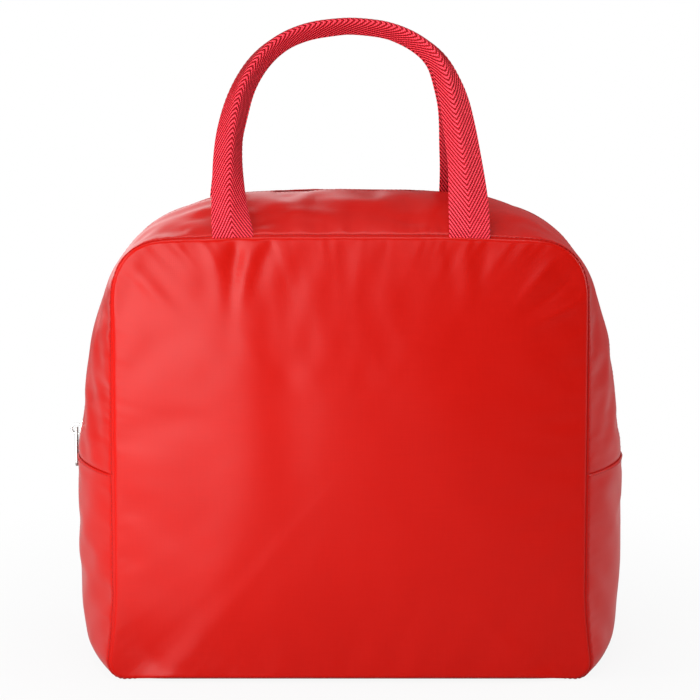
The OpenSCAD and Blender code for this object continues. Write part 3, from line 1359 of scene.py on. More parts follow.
    def panel(self, x: Array, z: Array, away: Array, arc: Array, side: Side) -> Array:
        """Outward wander of a panel's cloth.

        Args:
            x: Across the panel.
            z: Up the panel.
            away: Distance from the seam line.
            arc: Distance along the seam line.
            side: Which panel it is.

        Returns:
            The wander at each point.
        """
        seed = 30 if side is Side.FRONT else 60
        out = self.roll(away, self.form.seam_depth)
        away = away.clip(0)
        high = eased((z - self.high_from) / self.high_run)
        high = self.low_share + (1 - self.low_share) * high
        near = high * sum(pucker.read(arc, away, seed) for pucker in HIGH_PUCKERS)
        near = near + PANEL_PUCKER.read(arc, away, seed)
        out = out + near * eased(np.abs(z - self.form.joint_h) / self.joint_calm)
        broad = self.panel_broad * ripple(x + 0.3 * z, 70.0, seed + 2)
        broad = broad + self.panel_slanting * ripple(z - 0.2 * x, 80.0, seed + 3)
        out = out + broad * (1 - fading(away, self.panel_broad_reach))
        seen_x = -side.value * x
        creases = sum(crease.read(seen_x, z) for crease in FRONT_CREASES)
        out = out + creases * (1 - fading(away, self.panel_crease_reach))
        folds = self.panels[side].read(seen_x, z) * (1 - fading(away, self.panel_fold_reach))
        return out + folds * (self.fold_share + self.fold_edge * fading(away, self.fold_edge_reach))


# ---------------------------------------------------------------- walls


@dataclass
class Layer:
    """One layer of the wall.

    Attributes:
        name: The word that its pieces are named by.
        top: How far its outer face is under the bag's.
        thickness: How thick it is.
        finish: Its material.
        slot: The slot of its pieces.
    """

    name: str
    top: float
    thickness: float
    # slot: Which kind of layer it is; only the outer cloth, red_cloth, gets creases and puckers.
    finish: bpy.types.Material
    slot: str


@dataclass
class Walls:
    """The panels and gussets, layer by layer."""

    form: BagForm
    cloth: OuterCloth
    edge: float = 5.0
    blend_reach: float = 12.0
    near_rows: tuple[float, ...] = (0, 0.35, 0.8, 1.4, 2.2, 3.2, 4.5, 6, 8, 10, 12.5)
    row_step: float = 3.0
    rings: Place = (15.0, 106.0)
    even_from: float = 70.0
    rise_in: float = 8.0
    push_in: float = 22.0
    tuck: float = 3.0
    tuck_in: float = 0.35
    foam_fill: float = 0.3

    def columns(self, inset: float, edge: float | None) -> Array:
        """Y of the columns of a gusset wall.

        Args:
            inset: How far the wall starts inside the seam; without one its edge is turned in.
            edge: Y of its edge by the zip, or None for the whole width.

        Returns:
            The columns, from the front.
        """
        start = self.form.groove_y - inset
        stop = 0.0 if edge is None else edge
        turned = [] if inset else [-TURNED]
        near = turned + [a for a in self.near_rows if a < start - stop - self.row_step]
        width = start - stop
        far = np.linspace(near[-1], width, int((width - near[-1]) / self.row_step) + 1)
        half = np.concatenate([near[:-1], far]) - start
        return np.concatenate([half, -half[::-1][1:]]) if edge is None else half

    def gusset(
        self, layer: Layer, at: Stations, columns: Array, name: str
    ) -> bpy.types.Object:
        """Makes one gusset wall of a layer.

        Args:
            layer: The layer.
            at: The stations along the outline.
            columns: Y of the columns.
            name: The piece's name.

        Returns:
            The piece.
        """
        detail = self.cloth.gusset if layer.slot == "red_cloth" else None
        outer = self.form.wall(at, columns, layer.top, detail)
        inner = self.form.wall(at, columns, layer.top + layer.thickness, detail)
        if at.upper and detail is not None:
            outer, inner = self._tucked(outer), self._tucked(inner)
        piece = make_slab(name, outer, inner, layer.finish)
        return piece

    def _tucked(self, grid: Array) -> Array:
        """Carries both ends of a gusset on, down behind the hem of the one below.

        Args:
            grid: The points of the gusset, a row for each station.

        Returns:
            The points with a row more at each end.
        """
        ends = []
        for row in (grid[0], grid[-1]):
            inward = np.array([-math.copysign(self.tuck_in, row[0, 0]), 0.0, 0.0])
            ends.append((row + inward + (0.0, 0.0, -self.tuck))[None])
        return np.concatenate([ends[0], grid, ends[1]])

    def top_gusset(self, layer: Layer, side: Side, inset: float) -> bpy.types.Object:
        """Makes the half of the upper gusset by one panel.

        Args:
            layer: The layer.
            side: Which panel it is by.
            inset: How far it starts inside the seam.

        Returns:
            The piece.
        """
        columns = self.columns(inset, self.edge)
        if side is Side.REAR:
            columns = -columns[::-1]
        name = f"{side.label}_top_gusset_{layer.name}_piece"
        piece = self.gusset(layer, self.form.upper(), columns, name)
        self.across_joint(piece, side)
        return piece

    def panel(self, layer: Layer, side: Side, inset: float) -> bpy.types.Object:
        """Makes a whole panel, which crosses the fold of the mouth.

        Args:
            layer: The layer.
            side: Which panel it is.
            inset: How far it starts inside the seam.

        Returns:
            The piece.
        """
        form = self.form
        upper, lower = form.upper(), form.lower()
        point = np.concatenate([upper.point, lower.point[1:-1]])
        normal = np.concatenate([upper.normal, lower.normal[1:-1]])
        arc = np.concatenate([upper.arc, upper.arc[-1] + lower.arc[1:-1]])
        centre = np.array([0.0, form.height / 2])
        rings = np.arange(*self.rings, self.row_step)
        away = np.concatenate([[] if inset else [-TURNED], self.near_rows, rings])
        under = np.concatenate([form.under(upper), form.under(lower)[1:-1]])[:, 0]
        spoke = point - centre
        reach = (spoke * normal).sum(1)
        even = reach.mean()
        local = reach[None, :] + (even - reach[None, :]) * eased(away[:, None] / self.even_from)
        raised = form.seam_rise * under[None] * fading(away[:, None], self.rise_in)
        shares = 1 - (away[:, None] + form.groove + inset + raised) / local
        ring = centre + spoke[None] * np.clip(shares, 0.01, None)[..., None]
        x, z = ring[..., 0], ring[..., 1]
        far = np.broadcast_to(away[:, None] + inset, x.shape)
        push = form.base_push * under[None] * fading(away[:, None], self.push_in)

        def face(depth: float) -> Array:
            """Sets out the rings at a depth.

            Args:
                depth: How far under the outer face they are.

            Returns:
                The points of the rings.
            """
            out = form.bulge(-side.value * x, z) + push - depth
            if layer.slot == "red_cloth":
                out = out + self.cloth.panel(x, z, far, arc[None, :], side)
            return np.stack([x, side.value * (form.panel_y + out), z], -1)

        outer, inner = face(layer.top), face(layer.top + layer.thickness)
        piece = self._capped(f"{side.label}_panel_{layer.name}", outer, inner, side, layer)
        self.across_joint(piece, side)
        return piece

    @staticmethod
    def _capped(
        name: str, outer: Array, inner: Array, side: Side, layer: Layer
    ) -> bpy.types.Object:
        """Makes a slab of rings and closes its middle with one fan on each face.

        Args:
            name: The piece's name.
            outer: The rings of the outer face.
            inner: The rings of the inner face.
            side: Which panel it is.
            layer: The layer.

        Returns:
            The piece.
        """
        rows, cols = outer.shape[:2]
        count = rows * cols
        middles = [outer[-1].mean(0, keepdims=True), inner[-1].mean(0, keepdims=True)]
        points = np.concatenate([outer.reshape(-1, 3), inner.reshape(-1, 3), *middles])
        faces = grid_faces(rows, cols, True)
        faces += [face[::-1] for face in grid_faces(rows, cols, True, count)]
        last = (rows - 1) * cols
        for j in range(cols):
            k = (j + 1) % cols
            faces.append((j, k, count + k, count + j))
            faces.append((last + j, 2 * count, last + k))
            faces.append((count + last + k, 2 * count + 1, count + last + j))
        if side is Side.REAR:
            faces = [face[::-1] for face in faces]
        return make_object(name, points, faces, layer.finish)

    def across_joint(self, piece: bpy.types.Object, side: Side) -> None:
        """Bakes a piece's placement into its points.

        Args:
            piece: The piece.
            side: Which side it is on; not used.
        """
        side.mouth
        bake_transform(piece)

    def build(self, layer: Layer, inset: float) -> None:
        """Makes every wall of a layer.

        Args:
            layer: The layer.
            inset: How far it starts inside the seams.
        """
        lower = self.gusset(
            layer, self.form.lower(), self.columns(inset, None), f"lower_gusset_{layer.name}_piece"
        )
        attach(lower, BASE_BODY)
        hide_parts(f"lower_gusset_{layer.name}")
        made = [lower]
        for side in Side:
            gusset = self.top_gusset(layer, side, inset)
            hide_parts(f"{side.label}_top_gusset_{layer.name}")
            panel = self.panel(layer, side, inset)
            names = [f"{side.label}_panel_{half}_{layer.name}" for half in ("lower", "upper")]
            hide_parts(*names)
            made += [gusset, panel]
        LOG.info("walls of %s: %d pieces", layer.name, len(made))


@dataclass
class SeamTrim:
    """The binding inside the seams, the zip's tapes and coils, and every line of stitches."""

    form: BagForm
    walls: Walls
    ribbon: bpy.types.Material
    thread: bpy.types.Material
    binding_in: float = 2.5
    binding_w: float = 7.6
    binding_t: float = 0.7
    binding_edge: float = 0.1
    binding_depth: float = 4.9
    binding_wander: float = 0.12
    tape_columns: tuple[float, ...] = (14.4, 12, 9, 7, 5.5, 4.2, 3, 2, 1.2, 0.7, 0.35, 0.1)
    tape_turn: float = 0.55
    tape_top: float = 0.75
    tape_t: float = 0.4
    tape_wander: float = 0.06
    coil_pitch: float = 1.35
    coil_reach: float = 1.5
    coil_rise: float = 0.42
    coil_middle: float = 1.2
    coil_depth: float = 1.72
    wire_r: float = 0.2
    coil_start: float = 8.5
    coil_end: float = 1.0
    coil_points: int = 9
    coil_phase: float = 0.25
    coil_sides: int = 5
    stitch: float = 2.4
    zip_proud: float = -0.06
    seam_proud: float = 0.3
    base_press: float = 0.75
    thread_r: float = 0.17
    thread_sides: int = 6
    zip_line: float = 2.2
    seam_line: float = 0.1
    hem_in: float = 1.1
    hem_proud: float = 0.1
    hem_end: float = 2.0

    def __post_init__(self) -> None:
        """Sets out the points of one stitch."""
        self.stitch_place = np.array([-0.36, -0.24, 0.0, 0.24, 0.36])
        self.stitch_dip = np.array([0.4, 0.08, 0.0, 0.08, 0.4])

    def _dressed(self, piece: bpy.types.Object, node: str, side: Side) -> None:
        """Hides the node that a piece replaces, and hangs the piece on the base's body if it
        replaces a lower one, or else bakes its placement.

        Args:
            piece: The piece.
            node: The node that it replaces.
            side: Which side it is on.
        """
        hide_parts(node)
        if node.endswith("lower"):
            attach(piece, BASE_BODY)
        else:
            self.walls.across_joint(piece, side)

    def bindings(self) -> None:
        """Makes the four bindings, whose edges are thinner than their middle."""
        outside = -self.form.groove_y + self.binding_in
        from_front = np.linspace(outside, outside + self.binding_w, 7)
        deep = self.binding_t * (1 - np.linspace(-1, 1, len(from_front)) ** 6)

        def outer_face(stations: Stations, y: Array) -> Array:
            """The wander of the outer face."""
            return self.binding_wander * ripple(stations.arc[:, None], 11.0, 71)

        def inner_face(stations: Stations, y: Array) -> Array:
            """The wander of the inner face, which meets the outer one at the edges."""
            return outer_face(stations, y) - deep

        for side in Side:
            columns = from_front if side is Side.FRONT else -from_front[::-1]
            for half, at in (("lower", self.form.lower()), ("upper", self.form.upper())):
                outer = self.form.wall(at, columns, self.binding_depth, outer_face)
                depth = self.binding_depth + self.binding_edge
                inner = self.form.wall(at, columns, depth, inner_face)
                node = f"{side.label}_binding_{half}"
                piece = make_slab(f"{node}_tape", outer, inner, self.ribbon)
                self._dressed(piece, node, side)

    def tapes(self) -> None:
        """Makes the two zip tapes, whose edges turn down where they meet."""
        from_front = -np.array(self.tape_columns)
        at = self.form.upper()
        for side in Side:
            columns = from_front if side is Side.FRONT else -from_front[::-1]

            def turned(stations: Stations, y: Array) -> Array:
                """The wander of the tape, which dips at the edge by the coil."""
                wave = self.tape_wander * ripple(stations.arc[:, None], 22.0, 81 + side.value)
                return wave - self.tape_turn * fading(np.abs(y), self.tape_turn, 1.5)

            outer = self.form.wall(at, columns, self.tape_top, turned)
            inner = self.form.wall(at, columns, self.tape_top + self.tape_t, turned)
            node = f"{side.label}_zip_tape"
            piece = make_slab(f"{node}_piece", outer, inner, self.ribbon)
            self._dressed(piece, node, side)

    def coils(self) -> None:
        """Makes the two coils as wound monofilament."""
        at = self.form.upper()
        turns = int((at.length - self.coil_start - self.coil_end) / self.coil_pitch)
        spin = np.linspace(0, 2 * math.pi * turns, turns * self.coil_points)
        for side in Side:
            turn = spin / (2 * math.pi) + self.coil_phase * side.value
            arc = self.coil_start + turn * self.coil_pitch
            y = side.value * (self.coil_middle - self.coil_reach * np.cos(spin))
            path = self._on_wall(at, arc, y, self.coil_depth - self.coil_rise * np.sin(spin))
            node = f"{side.label}_zip_coil"
            name = f"{node}_piece"
            piece = make_tubes(name, [path], self.wire_r, self.ribbon, self.coil_sides)
            self._dressed(piece, node, side)

    def _on_wall(
        self, at: Stations, arc: Array, y: Array, depth: Array, detail: Callable | None = None
    ) -> Array:
        """Points of the gusset wall, one for each arc, Y and depth."""
        return self.form.wall(at.at(arc), y[:, None], depth[:, None], detail)[:, 0]

    def stitches(self) -> None:
        """Sews the zip's edges, the panels' seams and the hems of the side joints."""
        upper, lower = self.form.upper(), self.form.lower()
        for side in Side:
            zip_y = side.value * (self.walls.edge + self.zip_line)
            seam_y = side.value * (self.form.groove_y - self.seam_line)
            seam = [*self._along(upper, seam_y, self.seam_proud)]
            seam += self._along(lower, seam_y, self.seam_proud)
            rows = {"zip": self._along(upper, zip_y, self.zip_proud), "seam": seam}
            for word, paths in rows.items():
                piece = self._stitch_piece(f"{side.label}_{word}_stitches", paths)
                self.walls.across_joint(piece, side)
        hems = [self._across(lower, arc) for arc in (self.hem_in, lower.length - self.hem_in)]
        piece = self._stitch_piece("joint_stitches", hems[0] + hems[1])
        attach(piece, BASE_BODY)

    def _along(self, at: Stations, y: float, proud: float) -> list[Array]:
        """The stitches of a line along the outline, each a list of points.

        Args:
            at: The stations along the outline.
            y: Y of the line.
            proud: How far the thread stands out.

        Returns:
            The path of each stitch.
        """
        count = int(at.length / self.stitch)
        arcs = [(i + 0.5 + self.stitch_place) * (at.length / count) for i in range(count)]
        return [self._stitch(at, arc, np.full(len(arc), y), proud) for arc in arcs]

    def _across(self, at: Stations, arc: float) -> list[Array]:
        """The stitches of a line across the gusset, each a list of points.

        Args:
            at: The stations along the outline.
            arc: The line's distance along the outline.

        Returns:
            The path of each stitch.
        """
        reach = self.form.groove_y - self.hem_end
        count = int(2 * reach / self.stitch)
        rows = [(i + 0.5 + self.stitch_place) * (2 * reach / count) - reach for i in range(count)]
        return [self._stitch(at, np.full(len(y), arc), y, self.hem_proud) for y in rows]

    def _stitch(self, at: Stations, arc: Array, y: Array, proud: float) -> Array:
        """The path of one stitch, which dips into the cloth at both ends.

        Args:
            at: The stations along the outline.
            arc: The distances of its points along the outline.
            y: Y of its points.
            proud: How far its middle stands out.

        Returns:
            The points of the path.
        """
        pressed = self.base_press * self.form.under(at.at(arc))[:, 0]
        depth = self.stitch_dip - proud + pressed
        return self._on_wall(at, arc, y, depth, self.walls.cloth.gusset)

    def _stitch_piece(self, name: str, paths: list[Array]) -> bpy.types.Object:
        """Joins stitches into one piece.

        Args:
            name: The piece's name.
            paths: The path of each stitch.

        Returns:
            The piece.
        """
        piece = make_tubes(name, paths, self.thread_r, self.thread, self.thread_sides)
        return piece

    def build(self) -> None:
        """Makes every trim."""
        self.bindings()
        self.tapes()
        self.coils()
        self.stitches()
        LOG.info("trims made")


# ---------------------------------------------------------------- slider


def plate_shape(
    outline: list[Place], holes: list[list[Place]], thickness: float, bevel: float
) -> tuple[Array, list[tuple]]:
    """A flat plate with rounded edges, centred on the plane of its outline.

    Args:
        outline: The corners of its outline, without the bevel's own width.
        holes: The corners of each hole.
        thickness: How thick it is.
        bevel: The radius of its edges.

    Returns:
        Its points and faces.
    """
    curve = bpy.data.curves.new("plate", "CURVE")
    curve.dimensions = "2D"
    curve.fill_mode = "BOTH"
    curve.extrude = thickness / 2 - bevel
    curve.bevel_depth = bevel
    curve.bevel_resolution = 2
    for ring in (outline, *holes):
        spline = curve.splines.new("POLY")
        spline.points.add(len(ring) - 1)
        spline.points.foreach_set("co", [n for x, y in ring for n in (x, y, 0.0, 1.0)])
        spline.use_cyclic_u = True
    shape = bpy.data.objects.new("plate", curve)
    bpy.context.scene.collection.objects.link(shape)
    solid = bmesh.new()
    mesh = bpy.data.meshes.new_from_object(
        shape.evaluated_get(bpy.context.evaluated_depsgraph_get())
    )
    solid.from_mesh(mesh)
    bmesh.ops.remove_doubles(solid, verts=solid.verts, dist=1e-4)
    bmesh.ops.recalc_face_normals(solid, faces=solid.faces)
    points = np.array([vert.co for vert in solid.verts])
    faces = [tuple(vert.index for vert in face.verts) for face in solid.faces]
    solid.free()
    bpy.data.objects.remove(shape)
    return points, faces


def arc_points(centre: Place, radius: float, start: float, stop: float, count: int) -> list[Place]:
    """Points of an arc, its angles in degrees."""
    angles = np.radians(np.linspace(start, stop, count))
    return [(centre[0] + radius * math.cos(a), centre[1] + radius * math.sin(a)) for a in angles]


@dataclass
class ZipSlider:
    """The zip's slider and the puller on its bridge."""

    form: BagForm
    finish: bpy.types.Material
    rise: float = 5.0
    length: float = 12.0
    half: float = 4.2
    nose: float = 2.0
    taper_from: float = 0.6
    tail: float = 0.75
    plate_t: float = 1.1
    top_z: float = -0.3
    bottom_z: float = -3.6
    pin_along: float = 6.6
    pin_up: float = 3.0
    bridge_r: float = 3.0
    bridge_t: float = 0.9
    bridge_w: float = 1.8
    post: tuple[float, float, float] = (0.8, 3.0, 0.9)
    post_h: float = 3.3
    flange: tuple[float, float, float] = (2.4, 7.0, 0.6)
    flange_h: float = 1.9
    flange_up: float = 1.2
    puller_l: float = 20.0
    puller_w: float = 5.4
    puller_t: float = 1.2
    arm_in: float = 1.2
    arm_l: float = 4.5
    arm_r: float = 0.5
    rod_r: float = 0.5
    rod_bevel: float = 0.1
    slot_top: float = 7.5
    slot_end: float = 3.0
    slot_r: float = 0.9
    bevel: float = 0.22

    def frame(self) -> tuple[Array, Array, Array, Array]:
        """The slider's origin, its way of travel, the bag's depth and the way out of the bag.

        Returns:
            The origin and the three directions.
        """
        slope = math.radians(self.form.side_slope)
        left = -self.form.half_w - self.form.side_swell + self.rise * math.tan(slope)
        origin = np.array([left, 0.0, self.form.joint_h + self.rise])
        along = np.array([math.sin(slope), 0.0, math.cos(slope)])
        out = np.array([-math.cos(slope), 0.0, math.sin(slope)])
        return origin, along, np.array([0.0, 1.0, 0.0]), out

    @staticmethod
    def _set(shape: tuple, origin: Array, first: Array, second: Array, third: Array) -> tuple:
        """Moves a plate's own axes onto three directions."""
        points, faces = shape
        return origin + points @ np.stack([first, second, third]), faces

    def _joined(self, name: str, shapes: list[tuple], node: str, body: str) -> None:
        """Makes one piece of some plates.

        Args:
            name: The piece's name.
            shapes: The points and faces of each plate.
            node: The node that it replaces.
            body: The body that it rides on.
        """
        points, faces, offset = [], [], 0
        for places, polygons in shapes:
            points.append(places)
            faces += [tuple(index + offset for index in polygon) for polygon in polygons]
            offset += len(places)
        piece = make_object(name, np.concatenate(points), faces, self.finish, 35.0)
        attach(piece, body)
        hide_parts(node)

    def slider(self) -> None:
        """Makes the slider: two plates, the post between them, the flanges and the bridge."""
        origin, along, aside, out = self.frame()
        b, half = self.bevel, self.half
        side = [(b, half - self.nose / 2 - b), (self.nose, half - b)]
        side += [(self.length * self.taper_from, half - b)]
        side += [(self.length - b, half * self.tail - b)]
        outline = side + [(x, -y) for x, y in side[::-1]]
        middle = (self.top_z + self.bottom_z + self.plate_t) / 2
        start, stop, post_y = self.post[0] + b, self.post[1] - b, self.post[2] - b
        post = [(start, -post_y), (stop, -post_y), (stop, post_y), (start, post_y)]
        plates = [
            (outline, self.plate_t, self.top_z + self.plate_t / 2),
            (outline, self.plate_t, self.bottom_z + self.plate_t / 2),
            (post, self.post_h, middle),
        ]
        first, last, width = self.flange
        flange = [(first, half - width), (last, half - width), (last, half - b), (first, half - b)]
        for way in (-1, 1):
            turned = [(x, y * way) for x, y in flange]
            plates.append((turned, self.flange_h, self.bottom_z + self.flange_up))
        shapes = []
        for ring, thickness, height in plates:
            shape = plate_shape(ring, [], thickness, b)
            shapes.append(self._set(shape, origin + height * out, along, aside, out))
        foot = self.top_z + self.plate_t / 2
        centre = (self.pin_along, self.pin_up)
        outer_r, inner_r = self.bridge_r - b, self.bridge_r - self.bridge_t + b
        arch = [(self.pin_along - outer_r, foot), *arc_points(centre, outer_r, 180, 0, 19)]
        arch += [(self.pin_along + outer_r, foot), (self.pin_along + inner_r, foot)]
        arch += [*arc_points(centre, inner_r, 0, 180, 17), (self.pin_along - inner_r, foot)]
        shape = plate_shape(arch, [], self.bridge_w, b)
        shapes.append(self._set(shape, origin, along, out, -aside))
        self._joined("slider_body", shapes, "zip_slider", "slider")

    def puller(self) -> None:
        """Makes the puller, which hangs from the pin."""
        origin, along, aside, out = self.frame()
        pin = origin + self.pin_along * along + self.pin_up * out
        b, half, end = self.bevel, self.puller_w / 2, self.puller_l - self.puller_w / 2
        arm_top, gap, r = self.puller_t / 2 - b, self.arm_in + b, self.arm_r
        outline = [(half - b, arm_top), *arc_points((0, -end), half - b, 0, -180, 25)]
        outline += [(-half + b, arm_top), (-gap, arm_top)]
        outline += arc_points((-gap + r, -self.arm_l + r), r, 180, 270, 5)
        outline += arc_points((gap - r, -self.arm_l + r), r, 270, 360, 5)
        outline += [(gap, arm_top)]
        high, low, r = self.slot_top - self.puller_l, self.slot_end - self.puller_l, self.slot_r + b
        slot = arc_points((0, high), r, 0, 180, 13) + arc_points((0, low), r, 180, 360, 13)
        plate = plate_shape(outline, [slot], self.puller_t, b)
        up, across = np.array([0.0, 0.0, 1.0]), np.array([1.0, 0.0, 0.0])
        ring, rod_l = arc_points((0, 0), self.rod_r, 0, 345, 24), self.puller_w - self.rod_bevel
        rod = plate_shape(ring, [], rod_l, self.rod_bevel)
        shapes = [
            self._set(plate, pin, aside, up, across),
            self._set(rod, pin, across, up, -aside),
        ]
        self._joined("puller_body", shapes, "zip_puller", "puller")

    def build(self) -> None:
        """Makes both pieces."""
        self.slider()
        self.puller()
        LOG.info("slider and puller made")


# ---------------------------------------------------------------- handles


@dataclass
class Handle:
    """A webbing handle, flat where it leaves the seam and folded lengthwise in the grip."""

    side: Side
    finish: bpy.types.Material
    foot_shift: float = 0.0
    web_w: float = 20.0
    web_t: float = 1.3
    lean: float = 29.0
    root_y: float = 66.0
    root_z: float = 220.4
    seam_y: float = 63.9
    seam_h: float = 3.0
    bend_h: float = 6.0
    blend_from: float = 2.0
    blend_h: float = 9.0
    top_h: float = 123.0
    step: float = 0.42
    across: int = 50
    relief: float = 0.13
    line: float = 1.6
    slant: float = 0.57
    curl: float = 0.04
    fold_r: float = 1.3
    selvedge: float = 0.8
    edge_share: float = 0.4
    side_run: float = 50.0
    knot_points: int = 1200
    forward: float = 3.0
    forward_h: float = 40.0
    line_passes: int = 700
    turn_passes: int = 400
    left_ridge: tuple[Place, ...] = (
        (-57.3, 0), (-58.0, 8), (-59.4, 17), (-59.8, 26), (-59.8, 44), (-59.0, 59), (-57.5, 73),
        (-55.4, 82), (-52.2, 91), (-47.2, 101), (-41.2, 108.6), (-32.0, 115.6), (-19.0, 120.8),
    )
    right_ridge: tuple[Place, ...] = (
        (58.9, 0), (58.9, 10), (58.5, 23), (56.9, 40), (55.0, 56), (53.1, 69),
        (52.0, 79), (49.4, 90), (45.8, 101), (40.2, 108.6), (31.0, 115.6), (18.4, 120.9),
    )
    left_turn: tuple[Place, ...] = (
        (3, 0), (12, 26), (23, 38), (44, 60), (59, 70), (73, 64), (105, 72), (122, 80),
    )
    right_turn: tuple[Place, ...] = (
        (3, 0), (23, 22), (42, 42), (67, 56), (90, 63), (105, 72), (122, 80),
    )
    left_outer: tuple[Place, ...] = (
        (3, 0), (23, 30), (44, 32), (59, 36), (73, 47), (96, 56), (122, 72),
    )
    right_outer: tuple[Place, ...] = (
        (3, 0), (23, 12), (44, 20), (67, 30), (96, 54), (122, 72),
    )

    def ridge(self) -> Array:
        """The fold line in the handle's own plane, evenly spaced: x and distance from the seam.

        Returns:
            The points of the line, from the left foot.
        """
        knots = np.array([*self.left_ridge, (0.0, self.top_h), *self.right_ridge[::-1]], float)
        line = self._smooth_through(knots)
        share = (1 - line[:, 1] / self.top_h).clip(0, 1) ** 2
        line[:, 0] -= np.where(line[:, 0] < 0, self.foot_shift * share, 0)
        arc = lengths_along(line)
        even = np.linspace(0, arc[-1], int(arc[-1] / self.step))
        return np.stack([np.interp(even, arc, line[:, 0]), np.interp(even, arc, line[:, 1])], 1)

    def _smooth_through(self, knots: Array) -> Array:
        """A smooth line close to the knots, which keeps its ends.

        Args:
            knots: The points that it passes near.

        Returns:
            The points of the line.
        """
        chord = lengths_along(knots)
        fine = np.linspace(0, chord[-1], self.knot_points)
        line = np.stack([np.interp(fine, chord, column) for column in knots.T], 1)
        return smoothed(line, self.line_passes)

    def fold(self, ridge: Array) -> tuple[Array, Array]:
        """How far the outer and inner halves of the webbing turn back, in radians.

        Args:
            ridge: The points of the ridge.

        Returns:
            The angles of the outer half and of the inner half, at each point.
        """

        def read(turns: tuple[Place, ...]) -> Array:
            """The angle of a table at each point of the ridge, in radians."""
            places, angles = np.array(turns, float).T
            return np.radians(smoothed(np.interp(ridge[:, 1], places, angles), self.turn_passes))

        right = eased(0.5 + ridge[:, 0] / self.side_run)
        inner = read(self.left_turn) * (1 - right) + read(self.right_turn) * right
        outer = read(self.left_outer) * (1 - right) + read(self.right_outer) * right
        return outer, inner

    def build(self) -> None:
        """Makes the handle, bakes its placement and hides the model's own."""
        ridge = self.ridge()
        tangent = np.gradient(ridge, axis=0)
        tangent /= np.linalg.norm(tangent, axis=1, keepdims=True)
        outward = np.stack([-tangent[:, 1], tangent[:, 0]], 1)
        outer, inner = self.fold(ridge)
        w = np.linspace(-self.web_w / 2, self.web_w / 2, self.across)
        arc = lengths_along(ridge)
        curl = self.curl * ripple(arc, 60.0, 91 + self.side.value)
        soft = 0.5 + 0.5 * np.tanh(w / self.fold_r)
        angle = -(outer + curl)[:, None] * (1 - soft)[None] + (inner + curl)[:, None] * soft[None]
        dw = w[1] - w[0]
        into = np.cumsum(np.cos(angle) * dw, axis=1)
        back = np.cumsum(np.sin(angle) * dw, axis=1)
        middle = int(np.argmin(np.abs(w)))
        into -= into[:, middle : middle + 1]
        back -= back[:, middle : middle + 1]
        lines = np.cos(2 * math.pi / self.line * (arc[:, None] * self.slant + np.abs(w)[None]))
        edge = (np.clip((self.web_w / 2 - np.abs(w)) / self.selvedge, 0, 1) ** 0.5)[None]
        half = self.web_t / 2 * (self.edge_share + (1 - self.edge_share) * edge)
        faces = []
        for sign in (1, -1):
            thick = sign * half + self.relief * lines * edge * sign
            a = into + np.sin(angle) * thick
            b = back - np.cos(angle) * thick
            faces.append(self._placed(ridge, outward, a, b))
        front, rear = faces if self.side is Side.FRONT else faces[::-1]
        piece = make_slab(f"{self.side.label}_webbing", front, rear, self.finish)
        self._map(piece, arc, w)
        self.side.mouth
        f"{self.side.label}_handle"
        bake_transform(piece)
        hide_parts(f"{self.side.label}_handle")
        LOG.info("%s: %d points", piece.name, len(piece.data.vertices))

    def _placed(self, ridge: Array, outward: Array, into: Array, back: Array) -> Array:
        """Points in the bag's frame from places in the handle's section.

        Args:
            ridge: The points of the ridge.
            outward: The way out of the handle's arch at each point.
            into: How far each place is into the arch.
            back: How far it is behind the handle's plane.

        Returns:
            The grid of points.
        """
        x = ridge[:, :1] - outward[:, :1] * into
        h = ridge[:, 1:] - outward[:, 1:] * into
        lean = math.radians(self.lean)
        behind = back - self.forward * eased(ridge[:, 1:] / self.forward_h)
        free = eased((h - self.seam_h) / self.bend_h)
        line = (-self.root_y + h * math.sin(lean)) * free - self.seam_y * (1 - free)
        y = line + behind * math.cos(lean)
        z = self.root_z + h * math.cos(lean) - behind * math.sin(lean)
        return np.stack([x, -self.side.value * y, z], -1)

    def _map(self, piece: bpy.types.Object, arc: Array, w: Array) -> None:
        """Gives the webbing its map along and across the strap.

        Args:
            piece: The webbing.
            arc: The distances along the strap.
            w: The distances across it.
        """
        one_face = np.stack(np.meshgrid(arc, w, indexing="ij"), -1).reshape(-1, 2)
        both = np.tile(one_face, (2, 1)) * MM
        layer = piece.data.uv_layers.new(name="strap")
        corners = np.empty(len(piece.data.loops), int)
        piece.data.loops.foreach_get("vertex_index", corners)
        layer.data.foreach_set("uv", both[corners].reshape(-1))


# ---------------------------------------------------------------- studio


# Each lamp's name, place, aim, width and height, in metres, and power in watts
LAMPS = (
    ("left_key", (-0.29, -0.70, 0.19), (0, -0.05, 0.11), (0.28, 0.36), 3.9),
    ("high_strip", (-0.1, -0.72, 0.45), (0, -0.05, 0.2), (0.5, 0.14), 1.2),
    ("floor_card", (-0.24, -0.34, 0.003), (-0.24, -0.34, 1.0), (0.3, 0.4), 0.8),
    ("overhead", (-0.1, 0.0, 1.3), (0, 0, 0.15), (0.9, 0.9), 10.3),
    ("left_fill", (-1.1, -0.25, 0.6), (0, 0, 0.12), (0.6, 0.8), 10),
    ("rear_fill", (-0.45, 1.2, 0.55), (0, 0, 0.12), (0.9, 0.9), 3.5),
    ("right_fill", (1.2, 0.0, 0.5), (0, 0, 0.12), (0.6, 0.8), 11),
)


